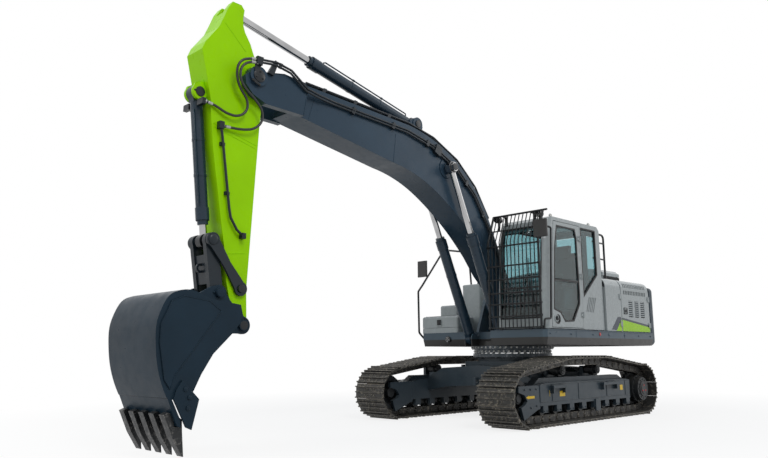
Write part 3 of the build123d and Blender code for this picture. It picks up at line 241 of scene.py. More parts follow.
def steel(name, colour, worn, rough=0.45, amount=0.5, scale=22.0, wear=0.0):
    """Dark cast or forged steel with bare, worn patches; wear is how far in from its edges it is bare."""
    n, links, shader = tree(name)
    patch = noise(n, links, scale, 8, 0.65)
    tone = ramp(n, links, patch, [(0.25, tint(colour, 0.7)), (0.55, colour),
                                  (0.62 + 0.2 * (1 - amount), worn)])
    if wear:
        rub = times(n, links, edge_wear(n, links, wear), span_map(n, links, patch, 0.35, 0.6, 0.35, 1.0))
        tone = mixed(n, links, rub, tone, tint(worn, 1.3))
    links.new(tone, shader.inputs["Base Color"])
    shader.inputs["Metallic"].default_value = 0.55
    patchy(n, links, shader, 40.0, 6, rough * 0.75, rough * 1.3)
    links.new(rounded(n, links, 0.004, noise(n, links, 90.0, 8, 0.7), 0.35, 0.002), shader.inputs["Normal"])


def chrome(name):
    """Hard chromed rod with faint turning marks."""
    n, links, shader = tree(name)
    shader.inputs["Metallic"].default_value = 1.0
    links.new(wander(n, links, 3.0, 2, (0.36, 0.36, 0.365), (0.50, 0.50, 0.505)), shader.inputs["Base Color"])
    patchy(n, links, shader, 60.0, 3, 0.06, 0.14)


def plastic(name, colour, rough=0.5, grain=600.0):
    """Moulded plastic with a fine grain."""
    n, links, shader = tree(name)
    links.new(wander(n, links, 5.0, 3, tint(colour, 0.85), tint(colour, 1.15)), shader.inputs["Base Color"])
    shader.inputs["Roughness"].default_value = rough
    links.new(rounded(n, links, 0.003, noise(n, links, grain, 2), 0.12, 0.0004), shader.inputs["Normal"])


def skirt_paint_with_painted_shade(name):
    """Deck paint: blue grey on the upright skirt; below its crease a dark brown grey, painted shade of the
    band that tapers in underneath.
    """
    n, links, shader, upper = paint(name, FRAME_GREY, 0.34, 0.08, dust_amount=0.15, shine=0.3)
    above = span_map(n, links, xyz(n, links, part_place(n))["Z"], 1.208, 1.216, 0.0, 1.0)
    # below the crease the colour is painted shade
    links.new(mixed(n, links, above, (0.034, 0.033, 0.032), upper), shader.inputs["Base Color"])


def cab_paint(name):
    """Panel paint outside; every face that looks into the cab is painted dark, painted shade of the cab's
    inside.
    """
    n, links, shader, outside = paint(name, PANEL_GREY, 0.27, 0.25, 0.04)
    place = xyz(n, links, part_place(n))
    inside = None
    # axis, middle and half width of the cab's inner space
    for axis, middle, half in (("X", 0.1175, 0.7685), ("Y", 0.867, 0.3910), ("Z", 2.090, 0.710)):
        near = n.new("ShaderNodeMath")
        near.operation = "COMPARE"
        near.inputs[1].default_value = middle
        near.inputs[2].default_value = half
        links.new(place[axis], near.inputs[0])
        inside = near.outputs[0] if inside is None else times(n, links, inside, near.outputs[0])
    # faces inside the cab: painted shade
    links.new(mixed(n, links, inside, outside, (0.035, 0.037, 0.040)), shader.inputs["Base Color"])


def glazing(name, colour=(0.42, 0.62, 0.65), rough=0.0):
    """Tinted clear glass."""
    n, links, shader = tree(name)
    links.new(wander(n, links, 0.8, 1, tint(colour, 0.94), colour, 0.35, 0.65), shader.inputs["Base Color"])
    shader.inputs["Roughness"].default_value = rough
    shader.inputs["Transmission Weight"].default_value = 1.0
    shader.inputs["IOR"].default_value = 1.45
    shader.inputs["Specular IOR Level"].default_value = 0.25


paint("frame_grey", FRAME_GREY, 0.42, 0.05, dust_amount=0.25, shine=0.25)
paint("under_black", (0.030, 0.044, 0.056), 0.38, 0.08, dust_amount=0.22, shine=0.3)
skirt_paint_with_painted_shade("skirt_grey")
steel("track_steel", (0.050, 0.049, 0.047), (0.24, 0.215, 0.175), 0.5, 0.75, wear=0.010)
paint("wheel_black", (0.018, 0.020, 0.022), 0.45, 0.05, dust_amount=0.3, shine=0.3)
steel("ring_steel", (0.05, 0.06, 0.07), (0.22, 0.23, 0.24), 0.35, 0.3)
paint("weight_grey", (0.024, 0.044, 0.062), 0.38, 0.05, dust_amount=0.06, shine=0.2)
steel("engine_metal", (0.12, 0.12, 0.12), (0.3, 0.3, 0.3))
paint("panel_grey", PANEL_GREY, 0.27, 0.25, 0.04)
cab_paint("cab_grey")
glazing("tinted_glass")
plastic("cab_trim", (0.03, 0.03, 0.032), 0.6)
paint("guard_black", BLACK, 0.4, 0.05, shine=0.25)
paint("rail_black", BLACK, 0.35, 0.1, shine=0.25)
plastic("mirror_housing", (0.02, 0.02, 0.02), 0.45)
plastic("lamp_housing", (0.025, 0.025, 0.025), 0.35)
steel("exhaust_metal", (0.16, 0.13, 0.10), (0.4, 0.38, 0.35), 0.4, 0.4)
paint("boom_grey", DEEP_GREY, 0.33, 0.03, dust_amount=0.03, shine=0.16)
paint("pipe_black", (0.012, 0.018, 0.024), 0.35, 0.08, shine=0.25)
paint("cylinder_grey", (0.018, 0.038, 0.060), 0.28, 0.12, shine=0.25)
chrome("chrome_rod")
paint("arm_green", GREEN, 0.30, 0.02, 0.06, shine=0.10)
paint("link_black", (0.014, 0.022, 0.030), 0.33, 0.1, shine=0.25)
paint("bucket_black", (0.014, 0.031, 0.049), 0.34, 0.0, 0.15, dust_amount=0.03, shine=0.13)
steel("teeth_steel", (0.028, 0.030, 0.032), (0.20, 0.19, 0.18), 0.42, 0.5, wear=0.006)
plastic("hose_black", (0.014, 0.015, 0.016), 0.42, 900.0)
plastic("rubber", (0.012, 0.012, 0.013), 0.6)
paint("pin_black", (0.012, 0.015, 0.018), 0.3, 0.1, shine=0.3)
steel("zinc", (0.42, 0.42, 0.40), (0.62, 0.62, 0.60), 0.3, 0.8)
plastic("red", (0.55, 0.012, 0.01), 0.25)
paint("yellow", YELLOW, 0.4, 0.05)
paint("navy", NAVY, 0.25, 0.2, 0.04)
paint("lime", (0.38, 0.70, 0.005), 0.28, 0.1, 0.04, shine=0.2)
glazing("lens", (0.90, 0.92, 0.93), 0.15)
plastic("dark_glass", (0.01, 0.012, 0.015), 0.08)
chrome("mirror")

# nodes whose look is not that of their material slot
OWN = {"centre_frame": "under_black", "track_frames": "under_black", "house_frame": "skirt_grey"}
for entry in frame["record"]["subparts"]:
    piece = nodes[entry["node"]]
    piece.data.materials.clear()
    piece.data.materials.append(MAT[OWN.get(entry["node"], entry["material_slot"])])


# ---- mesh tools
def at(frame, x, z, y=0.0):
    """Place of a point given in a link's own side plane."""
    (ox, oz), angle = frame
    a = math.radians(angle)
    return Vector((ox + x * math.cos(a) - z * math.sin(a), y, oz + x * math.sin(a) + z * math.cos(a)))


def flat(v):
    """Side-plane pair of a place."""
    return (v.x, v.z)


def heading(p, q):
    """Angle above level from one (x, z) pair to another."""
    return math.degrees(math.atan2(q[1] - p[1], q[0] - p[0]))


def far(p, q):
    """Distance between two (x, z) pairs."""
    return math.hypot(q[0] - p[0], q[1] - p[1])


# side planes: origin (x, z) and angle above level in degrees
LEVEL = ((0.0, 0.0), 0.0)
BOOM = ((0.158, 1.777), 24.99)
BOOM_END = (5.717, 0.0)
ARM = (flat(at(BOOM, *BOOM_END)), -88.45)
# pins in the boom's and in the arm's side plane
LIFT_PIN, REACH_PIN = (2.372, 1.048), (3.105, 1.370)
CURL_PIN, GUIDE_PIN, LINK_PIN, BUCKET_PIN = (0.330, 0.640), (2.493, 0.036), (2.562, 0.315), (2.894, 0.0)
LIFT_FOOT, LIFT_EYE = (0.702, 1.221), flat(at(BOOM, *LIFT_PIN))
REACH_FOOT, REACH_EYE = flat(at(BOOM, *REACH_PIN)), flat(at(ARM, -0.805, 0.235))
CURL_FOOT, CURL_EYE = flat(at(ARM, *CURL_PIN)), flat(at(ARM, 1.991, 0.419))
GUIDE_EYE = flat(at(ARM, *GUIDE_PIN))
LIFT = (LIFT_FOOT, heading(LIFT_FOOT, LIFT_EYE))
REACH = (REACH_FOOT, heading(REACH_FOOT, REACH_EYE))
CURL = (CURL_FOOT, heading(CURL_FOOT, CURL_EYE))


def spokes(one, two, count, turn=0.0):
    """Unit vectors evenly round, in the plane of two directions."""
    angles = [turn + 2 * math.pi * i / count for i in range(count)]
    return [one * math.cos(a) + two * math.sin(a) for a in angles]


class Piece:
    """Gathers faces for one piece, then hangs it on a body with a material slot."""

    def __init__(self):
        self.bm = bmesh.new()

    def loft(self, rings, closed=False):
        """Skin over rings of points; the ends are capped, or joined to each other if closed."""
        rings = [[self.bm.verts.new(point) for point in ring] for ring in rings]
        for a, b in zip(rings, rings[1:] + rings[:1] * closed):
            for i in range(len(a)):
                j = (i + 1) % len(a)
                self.bm.faces.new((a[i], a[j], b[j], b[i]))
        if not closed:
            self.bm.faces.new(rings[0][::-1])
            self.bm.faces.new(rings[-1])

    def prism(self, outline, y0, y1, frame=LEVEL):
        """Side outline carried from y0 to y1."""
        self.loft([[at(frame, x, z, y) for x, z in outline] for y in (y0, y1)])

    def across(self, outline, x0, x1):
        """Cross section of (y, z) pairs carried from x0 to x1."""
        self.loft([[(x, y, z) for y, z in outline] for x in (x0, x1)])

    def box(self, x0, x1, y0, y1, z0, z1):
        """Block between two corners."""
        self.prism([(x0, z0), (x1, z0), (x1, z1), (x0, z1)], y0, y1)

    def turned(self, start, axis, profile, sides=28, hollow=False):
        """Round body about an axis; profile rows are (along, radius), and a hollow one is a band."""
        axis = Vector(axis).normalized()
        one = axis.orthogonal().normalized()
        two = axis.cross(one)
        self.loft([[Vector(start) + axis * along + spoke * max(radius, 0.0004)
                    for spoke in spokes(one, two, sides)] for along, radius in profile], hollow)

    def cap(self, frame, pin, s, out, profile, sides=28):
        """Round cap on a pin, turned outward on side s."""
        self.turned(at(frame, *pin, s * out), (0, s, 0), profile, sides)

    def bolt(self, start, axis, size=0.012):
        """Hexagon head on a washer; size is half the width over the corners."""
        self.turned(start, axis, [(0, size * 1.3), (size * 0.22, size * 1.3)], 16)
        lift = Vector(start) + Vector(axis).normalized() * size * 0.2
        self.turned(lift, axis, [(0, size), (size * 0.7, size), (size * 0.85, size * 0.8)], 6)

    def ring_of_bolts(self, centre, axis, radius, count, size=0.012, turn=0.0):
        """Bolts evenly round a circle."""
        axis = Vector(axis).normalized()
        one = Vector((1, 0, 0)) if abs(axis.x) < 0.9 else Vector((0, 1, 0))
        for spoke in spokes(one, axis.cross(one), count, turn):
            self.bolt(Vector(centre) + spoke * radius, axis, size)

    def bead(self, points, radius=0.006, sides=8):
        """Weld bead or seal along points."""
        points = [Vector(p) for p in points]
        rings = []
        for i, p in enumerate(points):
            ahead = (points[min(i + 1, len(points) - 1)] - points[max(i - 1, 0)]).normalized()
            # a helper axis that no bead runs along
            one = ahead.cross(Vector((0.013, 1, 0.021))).normalized()
            rings.append([p + spoke * radius for spoke in spokes(one, ahead.cross(one), sides)])
        self.loft(rings)

    def frame_strip(self, outline, y0, y1, width):
        """Flat strip round a closed side outline, width inward, from y0 to y1."""
        area = sum(a[0] * b[1] - b[0] * a[1] for a, b in zip(outline, outline[1:] + outline[:1]))
        turn = 1 if area > 0 else -1
        inner = []
        for a, b, c in zip(outline[-1:] + outline[:-1], outline, outline[1:] + outline[:1]):
            a, b, c = Vector(a), Vector(b), Vector(c)
            d1, d2 = (b - a).normalized(), (c - b).normalized()
            n1, n2 = Vector((-d1.y, d1.x)) * turn, Vector((-d2.y, d2.x)) * turn
            n = (n1 + n2).normalized()
            inner.append(b + n * width / max(0.4, n.dot(n1)))
        self.loft([[(x, y, z) for x, z in ring]
                   for ring, y in ((outline, y0), (inner, y0), (inner, y1), (outline, y1))], closed=True)

    def done(self, name, body, slot, bevel=0.0, material=None):
        """Make the object; its look is the slot's unless a material is named."""
        bmesh.ops.recalc_face_normals(self.bm, faces=self.bm.faces[:])
        mesh = bpy.data.meshes.new(name)
        self.bm.to_mesh(mesh)
        self.bm.free()
        mesh.shade_smooth()
        mesh.set_sharp_from_angle(angle=math.radians(38))
        obj = bpy.data.objects.new(name, mesh)
        bpy.context.scene.collection.objects.link(obj)
        mesh.materials.append(MAT[material or slot])
        if bevel:
            edge = obj.modifiers.new("edge", "BEVEL")
            edge.width = bevel
            edge.segments = 2
            edge.limit_method = "ANGLE"
            edge.angle_limit = math.radians(40)
        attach(obj, body)


def circle(centre, radius, count=24, start=0.0, end=360.0):
    """Points on an arc, in a side plane."""
    angles = [math.radians(start + (end - start) * i / count) for i in range(count + (end - start < 360))]
    return [(centre[0] + radius * math.cos(a), centre[1] + radius * math.sin(a)) for a in angles]


def evenly(p, q, steps):
    """Places evenly from p to q, both ends included."""
    return [tuple(a + (b - a) * i / steps for a, b in zip(p, q)) for i in range(steps + 1)]


# ---- tracks
GAUGE_Y = 1.1815
SHOES = 46
IDLER, SPROCKET = (1.765, 0.392), (-1.665, 0.400)
CARRIERS = [(0.595, 0.736), (-0.430, 0.736)]
ROLLER_X = [1.200 - 0.349 * i for i in range(8)]
# centre and pitch line radius of what the chain runs round
WHEELS = [(IDLER, 0.304), (SPROCKET, 0.312)] + [(place, 0.120) for place in CARRIERS]


def belt():
    """Pitch line of a track: places and headings of its shoes, going forward on the ground."""
    cloud = sorted({(round(c[0] + r * math.cos(2 * math.pi * i / 120), 6),
                     round(c[1] + r * math.sin(2 * math.pi * i / 120), 6))
                    for c, r in WHEELS for i in range(120)})

    def half(points):
        chain = []
        for p in points:
            while len(chain) > 1 and (
                (chain[-1][0] - chain[-2][0]) * (p[1] - chain[-2][1])
                - (chain[-1][1] - chain[-2][1]) * (p[0] - chain[-2][0])
            ) <= 0:
                chain.pop()
            chain.append(p)
        return chain[:-1]

    line = half(cloud) + half(cloud[::-1])
    closed = line + [line[0]]
    legs = [far(a, b) for a, b in zip(closed, closed[1:])]
    step = sum(legs) / SHOES
    places, walked, leg = [], 0.0, 0
    for i in range(SHOES):
        while walked + legs[leg] < i * step:
            walked += legs[leg]
            leg += 1
        t = (i * step - walked) / legs[leg]
        a, b = closed[leg], closed[leg + 1]
        places.append((a[0] + t * (b[0] - a[0]), a[1] + t * (b[1] - a[1])))
    return [(p, heading(places[i - 1], places[(i + 1) % SHOES])) for i, p in enumerate(places)], step


shoes, PITCH = belt()
for side_name, s in (("left", 1), ("right", -1)):
    y, side = s * GAUGE_Y, (0, s, 0)

    def beside(place, out):
        """Place on the track's outer side, out from its middle plane."""
        return (place[0], y + s * out, place[1])

    links, bolts = Piece(), Piece()
    for here in shoes:
        for rail in (-1, 1):
            outer = y + rail * 0.106
            inner = y + rail * 0.090
            h = PITCH / 2
            outline = (circle((h, 0.0), 0.034, 8, -90, 90) + [(0.045, 0.044), (-0.045, 0.044)]
                       + circle((-h, 0.004), 0.030, 8, 90, 270) + [(-0.045, -0.046), (0.045, -0.046)])
            links.prism(outline, min(inner, outer), max(inner, outer), here)
            links.turned(at(here, h, 0.0, outer), (0, rail, 0),
                         [(0, 0.023), (0.007, 0.023), (0.009, 0.019)], 14)
        down = at(here, 0, -1.0) - at(here, 0, 0)
        for along in (-0.043, 0.043):
            for across in (-0.098, -0.046, 0.046, 0.098):
                bolts.bolt(at(here, along, -0.0622, y + across), down, 0.011)
    links.done("track_links_" + side_name, "undercarriage", "track_steel", 0.002)
    bolts.done("shoe_bolts_" + side_name, "undercarriage", "track_steel")

    # idler, sprocket and roller details
    wheel = Piece()
    wheel.turned(beside(IDLER, 0.108), side, [(0, 0.062), (0.012, 0.060), (0.016, 0.034)])
    wheel.ring_of_bolts(beside(IDLER, 0.108), side, 0.050, 6, 0.008)
    for x in ROLLER_X:
        wheel.turned(beside((x, 0.216), 0.111), side, [(0, 0.030), (0.006, 0.028)], 18)
    for place in CARRIERS:
        wheel.turned(beside(place, 0.100), side, [(0, 0.052), (0.010, 0.050), (0.012, 0.020), (0.018, 0.019)])
        wheel.ring_of_bolts(beside(place, 0.1105), side, 0.036, 5, 0.0065)
    wheel.ring_of_bolts(beside(SPROCKET, 0.150), side, 0.200, 15, 0.013)
    wheel.ring_of_bolts(beside(SPROCKET, 0.232), side, 0.150, 12, 0.010)
    wheel.turned(beside(SPROCKET, 0.246), side, [(0, 0.085), (0.007, 0.080)])
    wheel.done("wheel_fittings_" + side_name, "undercarriage", "wheel_black")
    dots = Piece()
    for place in circle(SPROCKET, 0.055, 3, 90, 450):
        dots.turned(beside(place, 0.253), side, [(0, 0.014), (0.005, 0.012)], 14)
    dots.done("hub_plugs_" + side_name, "undercarriage", "wheel_black", material="red")

    # plain yellow marks, roller covers, stiffeners and weld seams of the track frame
    face = y + s * 0.170
    marks = Piece()
    for x0, x1, z0, z1 in [(1.085, 1.093, 0.390, 0.474), (0.682, 0.826, 0.380, 0.455),
                           (-1.075, -0.985, 0.402, 0.481)]:
        marks.box(x0, x1, face, face + s * 0.0015, z0, z1)
    marks.prism([(1.467, 0.381), (1.600, 0.381), (1.600, 0.372), (1.673, 0.398), (1.600, 0.424),
                 (1.600, 0.415), (1.467, 0.415)], y + s * 0.168, y + s * 0.1695)
    marks.done("plain_marks_" + side_name, "undercarriage", "frame_grey", material="yellow")
    body = Piece()
    seam_x = [-1.30 + 2.62 * i / 60 for i in range(61)]
    body.bead([(x, face, 0.560 if i > 4 else 0.552) for i, x in enumerate(seam_x)], 0.007)
    body.bead([(x, face, 0.322) for x in seam_x], 0.006)
    for x in (1.33, 1.02, 0.30, -0.55, -1.16):
        body.prism([(x - 0.006, 0.325), (x + 0.006, 0.325), (x + 0.006, 0.552), (x - 0.006, 0.552)],
                   face, face + s * 0.006)
    for x in ROLLER_X:
        for dx in (-0.038, 0.038):
            body.bolt(beside((x + dx, 0.200), 0.168), side, 0.009)
    for place in [(1.42, 0.50), (1.56, 0.50), (1.70, 0.50), (1.42, 0.28), (1.56, 0.26)]:
        body.bolt(beside(place, 0.168), side, 0.012)
    body.done("track_frame_welds_" + side_name, "undercarriage", "frame_grey", 0.0015,
              material="under_black")

ring = Piece()
ring.ring_of_bolts((0, 0, 0.9845), (0, 0, 1), 0.610, 36, 0.013, 0.087)
for x, y in circle((0, 0), 1, 48):
    ring.bolt((0.6195 * x, 0.6195 * y, 1.018), (x, y, 0), 0.012)
ring.done("slew_ring_bolts", "undercarriage", "ring_steel", material="zinc")
upper = Piece()
for x, y in circle((0, 0), 1, 48, 3.75, 363.75):
    upper.bolt((0.6595 * x, 0.6595 * y, 1.078), (x, y, 0), 0.012)
upper.done("slew_ring_upper_bolts", "house", "ring_steel", material="zinc")

# ---- house skirt and doors
skirt = Piece()
skirt.box(-2.28, 1.09, 1.3605, 1.3635, 1.306, 1.322)
for x in (-2.20, -1.75, -1.24, -0.71, -0.20, 0.45, 1.02):
    skirt.bolt((x, 1.3605, 1.262), (0, 1, 0), 0.010)
    if x < 0.4:
        skirt.bolt((x, -1.3605, 1.262), (0, -1, 0), 0.010)
for x in (-1.24, -0.71, 0.30):
    skirt.box(x - 0.004, x + 0.004, 1.3605, 1.3625, 1.216, 1.306)
skirt.done("skirt_fittings", "house", "frame_grey")
spot = Piece()
spot.turned((-0.420, 1.361, 1.272), (0, 1, 0), [(0, 0.026), (0.006, 0.024)], 24)
for s in (1, -1):
    spot.turned((-2.765, s * 0.98, 1.60), (-1, s * 0.35, 0), [(0, 0.034), (0.010, 0.030)], 24)
spot.done("reflectors", "house", "frame_grey", material="red")

SKIN = 1.3325
navy_front = [(-0.872, 1.355), (-1.090, 1.558), (-1.144, 1.568), (-1.222, 1.560), (-1.222, 1.5145),
              (-1.208, 1.512), (-1.045, 1.351)]
lime_front = [(-1.045, 1.351), (-1.208, 1.512), (-1.222, 1.5145), (-1.222, 1.336), (-1.030, 1.336)]
navy_rear = [(-1.260, 1.556), (-2.262, 1.4532), (-2.262, 1.4176), (-1.263, 1.522), (-1.260, 1.5215)]
lime_rear = [(-1.260, 1.5215), (-1.263, 1.522), (-2.262, 1.4176), (-2.262, 1.336), (-1.260, 1.336)]
for name, outline, body_name, tone in [
    ("front_door_navy_stripe", navy_front, "left_front_door", "navy"),
    ("front_door_lime_stripe", lime_front, "left_front_door", "lime"),
    ("rear_door_navy_stripe", navy_rear, "left_rear_door", "navy"),
    ("rear_door_lime_stripe", lime_rear, "left_rear_door", "lime"),
]:
    stripe = Piece()
    stripe.prism(outline, SKIN - 0.001, SKIN + 0.0008)
    stripe.done(name, body_name, "panel_grey", material=tone)

latch = Piece()
latch.frame_strip([(-1.440, 1.620), (-1.326, 1.620), (-1.326, 1.726), (-1.440, 1.726)], 1.331, 1.342, 0.010)
latch.turned((-1.383, 1.338, 1.672), (0, 1, 0), [(0, 0.030), (0.006, 0.029), (0.007, 0.012),
                                                 (0.010, 0.011)], 24)
latch.done("rear_door_latch", "left_rear_door", "panel_grey", 0.001, material="rail_black")
blades = Piece()
for x in (-1.580, -1.800, -2.020):
    for i in range(8):
        z = 1.610 + 0.034 * i
        blades.box(x - 0.074, x + 0.074, 1.3105, 1.3275, z, z + 0.0065)
blades.done("rear_door_louvre_blades", "left_rear_door", "panel_grey", material="frame_grey")
# dark sheets behind the doors' louvre slots: painted shade inside the doors
for name, s, body_name in (("rear_door_painted_shade_sheet", 1, "left_rear_door"), ("pump_door_painted_shade_sheet", -1, "pump_door")):
    mesh = Piece()
    if s > 0:
        mesh.box(-2.105, -1.495, 1.3020, 1.3050, 1.560, 1.865)
        mesh.box(-2.200, -1.330, 1.3130, 1.3160, 1.935, 2.045)
        # round the door's upper edge
        bend = math.degrees(0.8)
        outer, inner = (circle((1.182, 2.045), radius, 4, 0, bend) for radius in (0.134, 0.131))
        mesh.across(outer + inner[::-1], -2.200, -1.330)
    else:
        mesh.box(-1.910, -1.410, -1.3050, -1.3020, 1.580, 1.860)
    mesh.done(name, body_name, "panel_grey", material="rubber")
for side_name, s, body_name in (("left", 1, "left_rear_door"), ("right", -1, "pump_door")):
    seal = Piece()
    for x in (-2.262, -1.2605):
        seal.box(x - 0.002, x + 0.002, s * 1.290, s * 1.326, 1.34, 2.02)
    seal.done("door_seal_" + side_name, body_name, "panel_grey", material="rubber")

# dark bars round the hood's foot, painted shade of its vent slots; anti-slip studs on the top
bars = Piece()
for s in (-1, 1):
    for i in range(28):
        x = -1.885 + 0.0208 * i
        bars.box(x, x + 0.009, s * 1.001, s * 1.007, 2.205, 2.284)
for i in range(90):
    y = -0.98 + 0.0218 * i
    bars.box(-1.2985, -1.294, y, y + 0.010, 2.205, 2.284)
bars.done("hood_vent_painted_shade_bars", "house", "panel_grey", material="rail_black")
grip = Piece()
for x0, x1 in [(-2.24, -1.95), (-1.25, -0.80)]:
    for x in [x0 + 0.05 * i for i in range(int((x1 - x0) / 0.05))]:
        for y in [-1.08 + 0.05 * j for j in range(44)]:
            # none under the exhaust
            if not (-2.24 < x < -1.95 and -0.66 < y < -0.46):
                grip.turned((x, y, 2.195), (0, 0, 1), [(0, 0.011), (0.004, 0.008)], 8)
grip.done("top_grip_studs", "house", "panel_grey", material="rail_black")

# counterweight: seam and lifting point's bolts
back = Piece()
seam = circle((0, 0), 2.8465, 40, -24, 24)
for pair in zip(seam, seam[1:]):
    back.bead([(-x, y, 1.52) for x, y in pair], 0.003, 6)
back.ring_of_bolts((-2.56, 0.0, 2.120), (0, 0, 1), 0.10, 4, 0.022, 0.785)
back.done("counterweight_seam", "house", "weight_grey")

# ---- cab
CAB_LEFT_Y, CAB_RIGHT_Y = 1.302, 0.432
door_window = [(0.636, 2.885), (0.094, 2.885), (0.051, 2.743), (0.028, 1.852), (0.041, 1.719), (0.238, 1.452),
               (0.499, 1.437), (0.621, 1.567), (0.800, 1.614), (0.720, 2.523)]
rear_quarter = [(-0.070, 2.930), (-0.543, 2.930), (-0.549, 2.206), (-0.085, 1.829)]
right_window = [(0.850, 1.640), (0.790, 2.560), (0.740, 2.900), (-0.560, 2.900), (-0.560, 1.800),
                (-0.300, 1.640)]
seal = Piece()
seal.frame_strip(door_window, CAB_LEFT_Y - 0.020, CAB_LEFT_Y + 0.0045, 0.026)
seal.box(0.050, 0.760, CAB_LEFT_Y - 0.010, CAB_LEFT_Y + 0.002, 2.046, 2.070)
seal.done("cab_door_window_seal", "cab_door", "cab_grey", 0.001, material="rubber")
gap = Piece()
gap.frame_strip([(-0.034, 1.356), (0.857, 1.356), (0.756, 2.560), (0.7115, 2.941), (-0.034, 2.941)],
                CAB_LEFT_Y - 0.034, CAB_LEFT_Y - 0.006, 0.008)
gap.frame_strip(rear_quarter, CAB_LEFT_Y - 0.030, CAB_LEFT_Y + 0.0025, 0.022)
gap.frame_strip(right_window, CAB_RIGHT_Y - 0.0025, CAB_RIGHT_Y + 0.028, 0.024)
gap.done("cab_window_seals", "house", "cab_grey", 0.001, material="rubber")
lock = Piece()
dish = (0.700, CAB_LEFT_Y + 0.0022, 1.475)
lock.turned(dish, (0, 1, 0), [(0, 0.072), (0.003, 0.072), (0.005, 0.066), (0.001, 0.060), (0.0005, 0.0)], 36)
lock.box(0.655, 0.745, CAB_LEFT_Y + 0.002, CAB_LEFT_Y + 0.018, 1.464, 1.486)
for z in (1.56, 2.15, 2.74):
    for dz in (-0.025, 0.025):
        lock.bolt((0.010, CAB_LEFT_Y + 0.012, z + dz), (0, 1, 0), 0.006)
lock.done("cab_door_handle", "cab_door", "cab_grey", 0.001, material="rail_black")

# front glass frame, roof hatch, wiper, gutter and little grille
trim = Piece()
for y in (0.512, 1.222):
    trim.bead([(1.0040, y, 1.490), (0.943, y, 2.560), (0.876, y, 2.855)], 0.011)
for x, z in ((1.0040, 1.490), (0.877, 2.855), (0.977, 1.940)):
    trim.bead([(x, 0.512, z), (x, 1.222, z)], 0.012)
trim.box(-0.520, -0.120, CAB_LEFT_Y - 0.034, CAB_LEFT_Y - 0.031, 1.600, 1.850)
trim.prism([(-0.074, 2.924), (-0.300, 2.924), (-0.300, 2.020), (-0.089, 1.850)],
           CAB_LEFT_Y - 0.0330, CAB_LEFT_Y - 0.0285)
trim.box(-0.538, -0.300, CAB_LEFT_Y - 0.0330, CAB_LEFT_Y - 0.0285, 2.820, 2.924)
trim.done("cab_trim_strips", "house", "cab_grey", material="rubber")
wiper = Piece()
wiper.bead([(1.012, 1.150, 1.500), (1.000, 1.080, 1.800), (0.985, 1.020, 2.080)], 0.007)
wiper.bead([(0.995, 1.030, 1.850), (0.966, 1.005, 2.380)], 0.006)
wiper.turned((1.000, 1.150, 1.490), (1, 0, 0), [(0, 0.022), (0.022, 0.020)], 16)
wiper.done("windscreen_wiper", "house", "cab_grey", material="rail_black")
roof = Piece()
roof.box(-0.075, 0.545, 0.550, 1.184, 2.9995, 3.006)
for y in (0.452, 1.282):
    roof.bead([(-0.59, y, 3.000), (0.75, y, 3.000)], 0.007)
roof.done("roof_hatch", "house", "cab_grey", 0.002)
eye = Piece()
for x in (0.680, -0.450):
    for y in (1.2345, 1.2515):
        eye.turned((x, y - 0.001, 3.024), (0, 1, 0), [(0, 0.020), (0, 0.031), (0.002, 0.031),
                                                      (0.002, 0.020)], 24)
eye.done("cab_lifting_eyes", "house", "cab_grey", material="zinc")

# inside the cab: screen, dash, head rest and the levers' boots
inside = Piece()
inside.box(0.800, 0.850, 0.520, 0.760, 1.780, 1.980)
inside.box(0.700, 0.930, 0.480, 0.560, 1.386, 1.700)
inside.prism([(-0.300, 2.480), (-0.180, 2.470), (-0.225, 2.690), (-0.320, 2.700)], 0.740, 0.995)
for y in (0.550, 1.184):
    for x in (0.330, 0.350):
        inside.turned((x, y, 1.935), (0.02, 0, 1), [(0, 0.050), (0.03, 0.034), (0.05, 0.040),
                                                    (0.08, 0.020)], 18)
inside.done("cab_inside", "house", "cab_trim", 0.012)
screen = Piece()
screen.box(0.796, 0.801, 0.535, 0.745, 1.800, 1.965)
screen.done("cab_screen", "house", "cab_trim", material="dark_glass")

# lamps, mirrors, guard feet
lens = Piece()
for place, radius in [((0.9551, 0.462, 3.030), 0.046), ((0.9551, 1.200, 3.030), 0.046),
                      ((0.7401, -0.760, 1.215), 0.044)]:
    lens.turned(place, (1, 0, 0), [(0, radius), (0.004, radius - 0.002), (0.007, radius - 0.016),
                                   (0.008, 0.002)], 30)
lens.done("lamp_lenses", "house", "lamp_housing", material="lens")
shells = Piece()
for y in (0.462, 1.200):
    shells.turned((0.950, y, 3.030), (1, 0, 0), [(0, 0.053), (0.010, 0.055), (0.014, 0.054), (0.014, 0.047),
                                                   (0.006, 0.046)], 30)
    for i in range(4):
        shells.turned((0.862 + 0.012 * i, y, 3.030), (1, 0, 0), [(0, 0.044), (0.006, 0.044)], 24)
shells.done("lamp_rims", "house", "lamp_housing")
glass = Piece()
glass.box(1.3285, 1.3300, 1.385, 1.575, 2.615, 2.835)
glass.box(0.4785, 0.4800, -1.597, -1.415, 2.340, 2.597)
glass.done("mirror_glass", "house", "mirror_housing", material="mirror")
feet = Piece()
for y in (0.610, 1.118):
    for dx in (1.126, 1.144):
        feet.bolt((dx, y, 1.3505), (0, 0, 1), 0.007)
for y in (0.420, 1.308):
    for z in (1.352, 1.518, 1.700, 1.864, 2.067, 2.270, 2.570):
        feet.turned((1.150, y - 0.020, z), (0, 1, 0), [(0, 0.020), (0.040, 0.020)], 14)
feet.done("guard_fittings", "house", "guard_black")

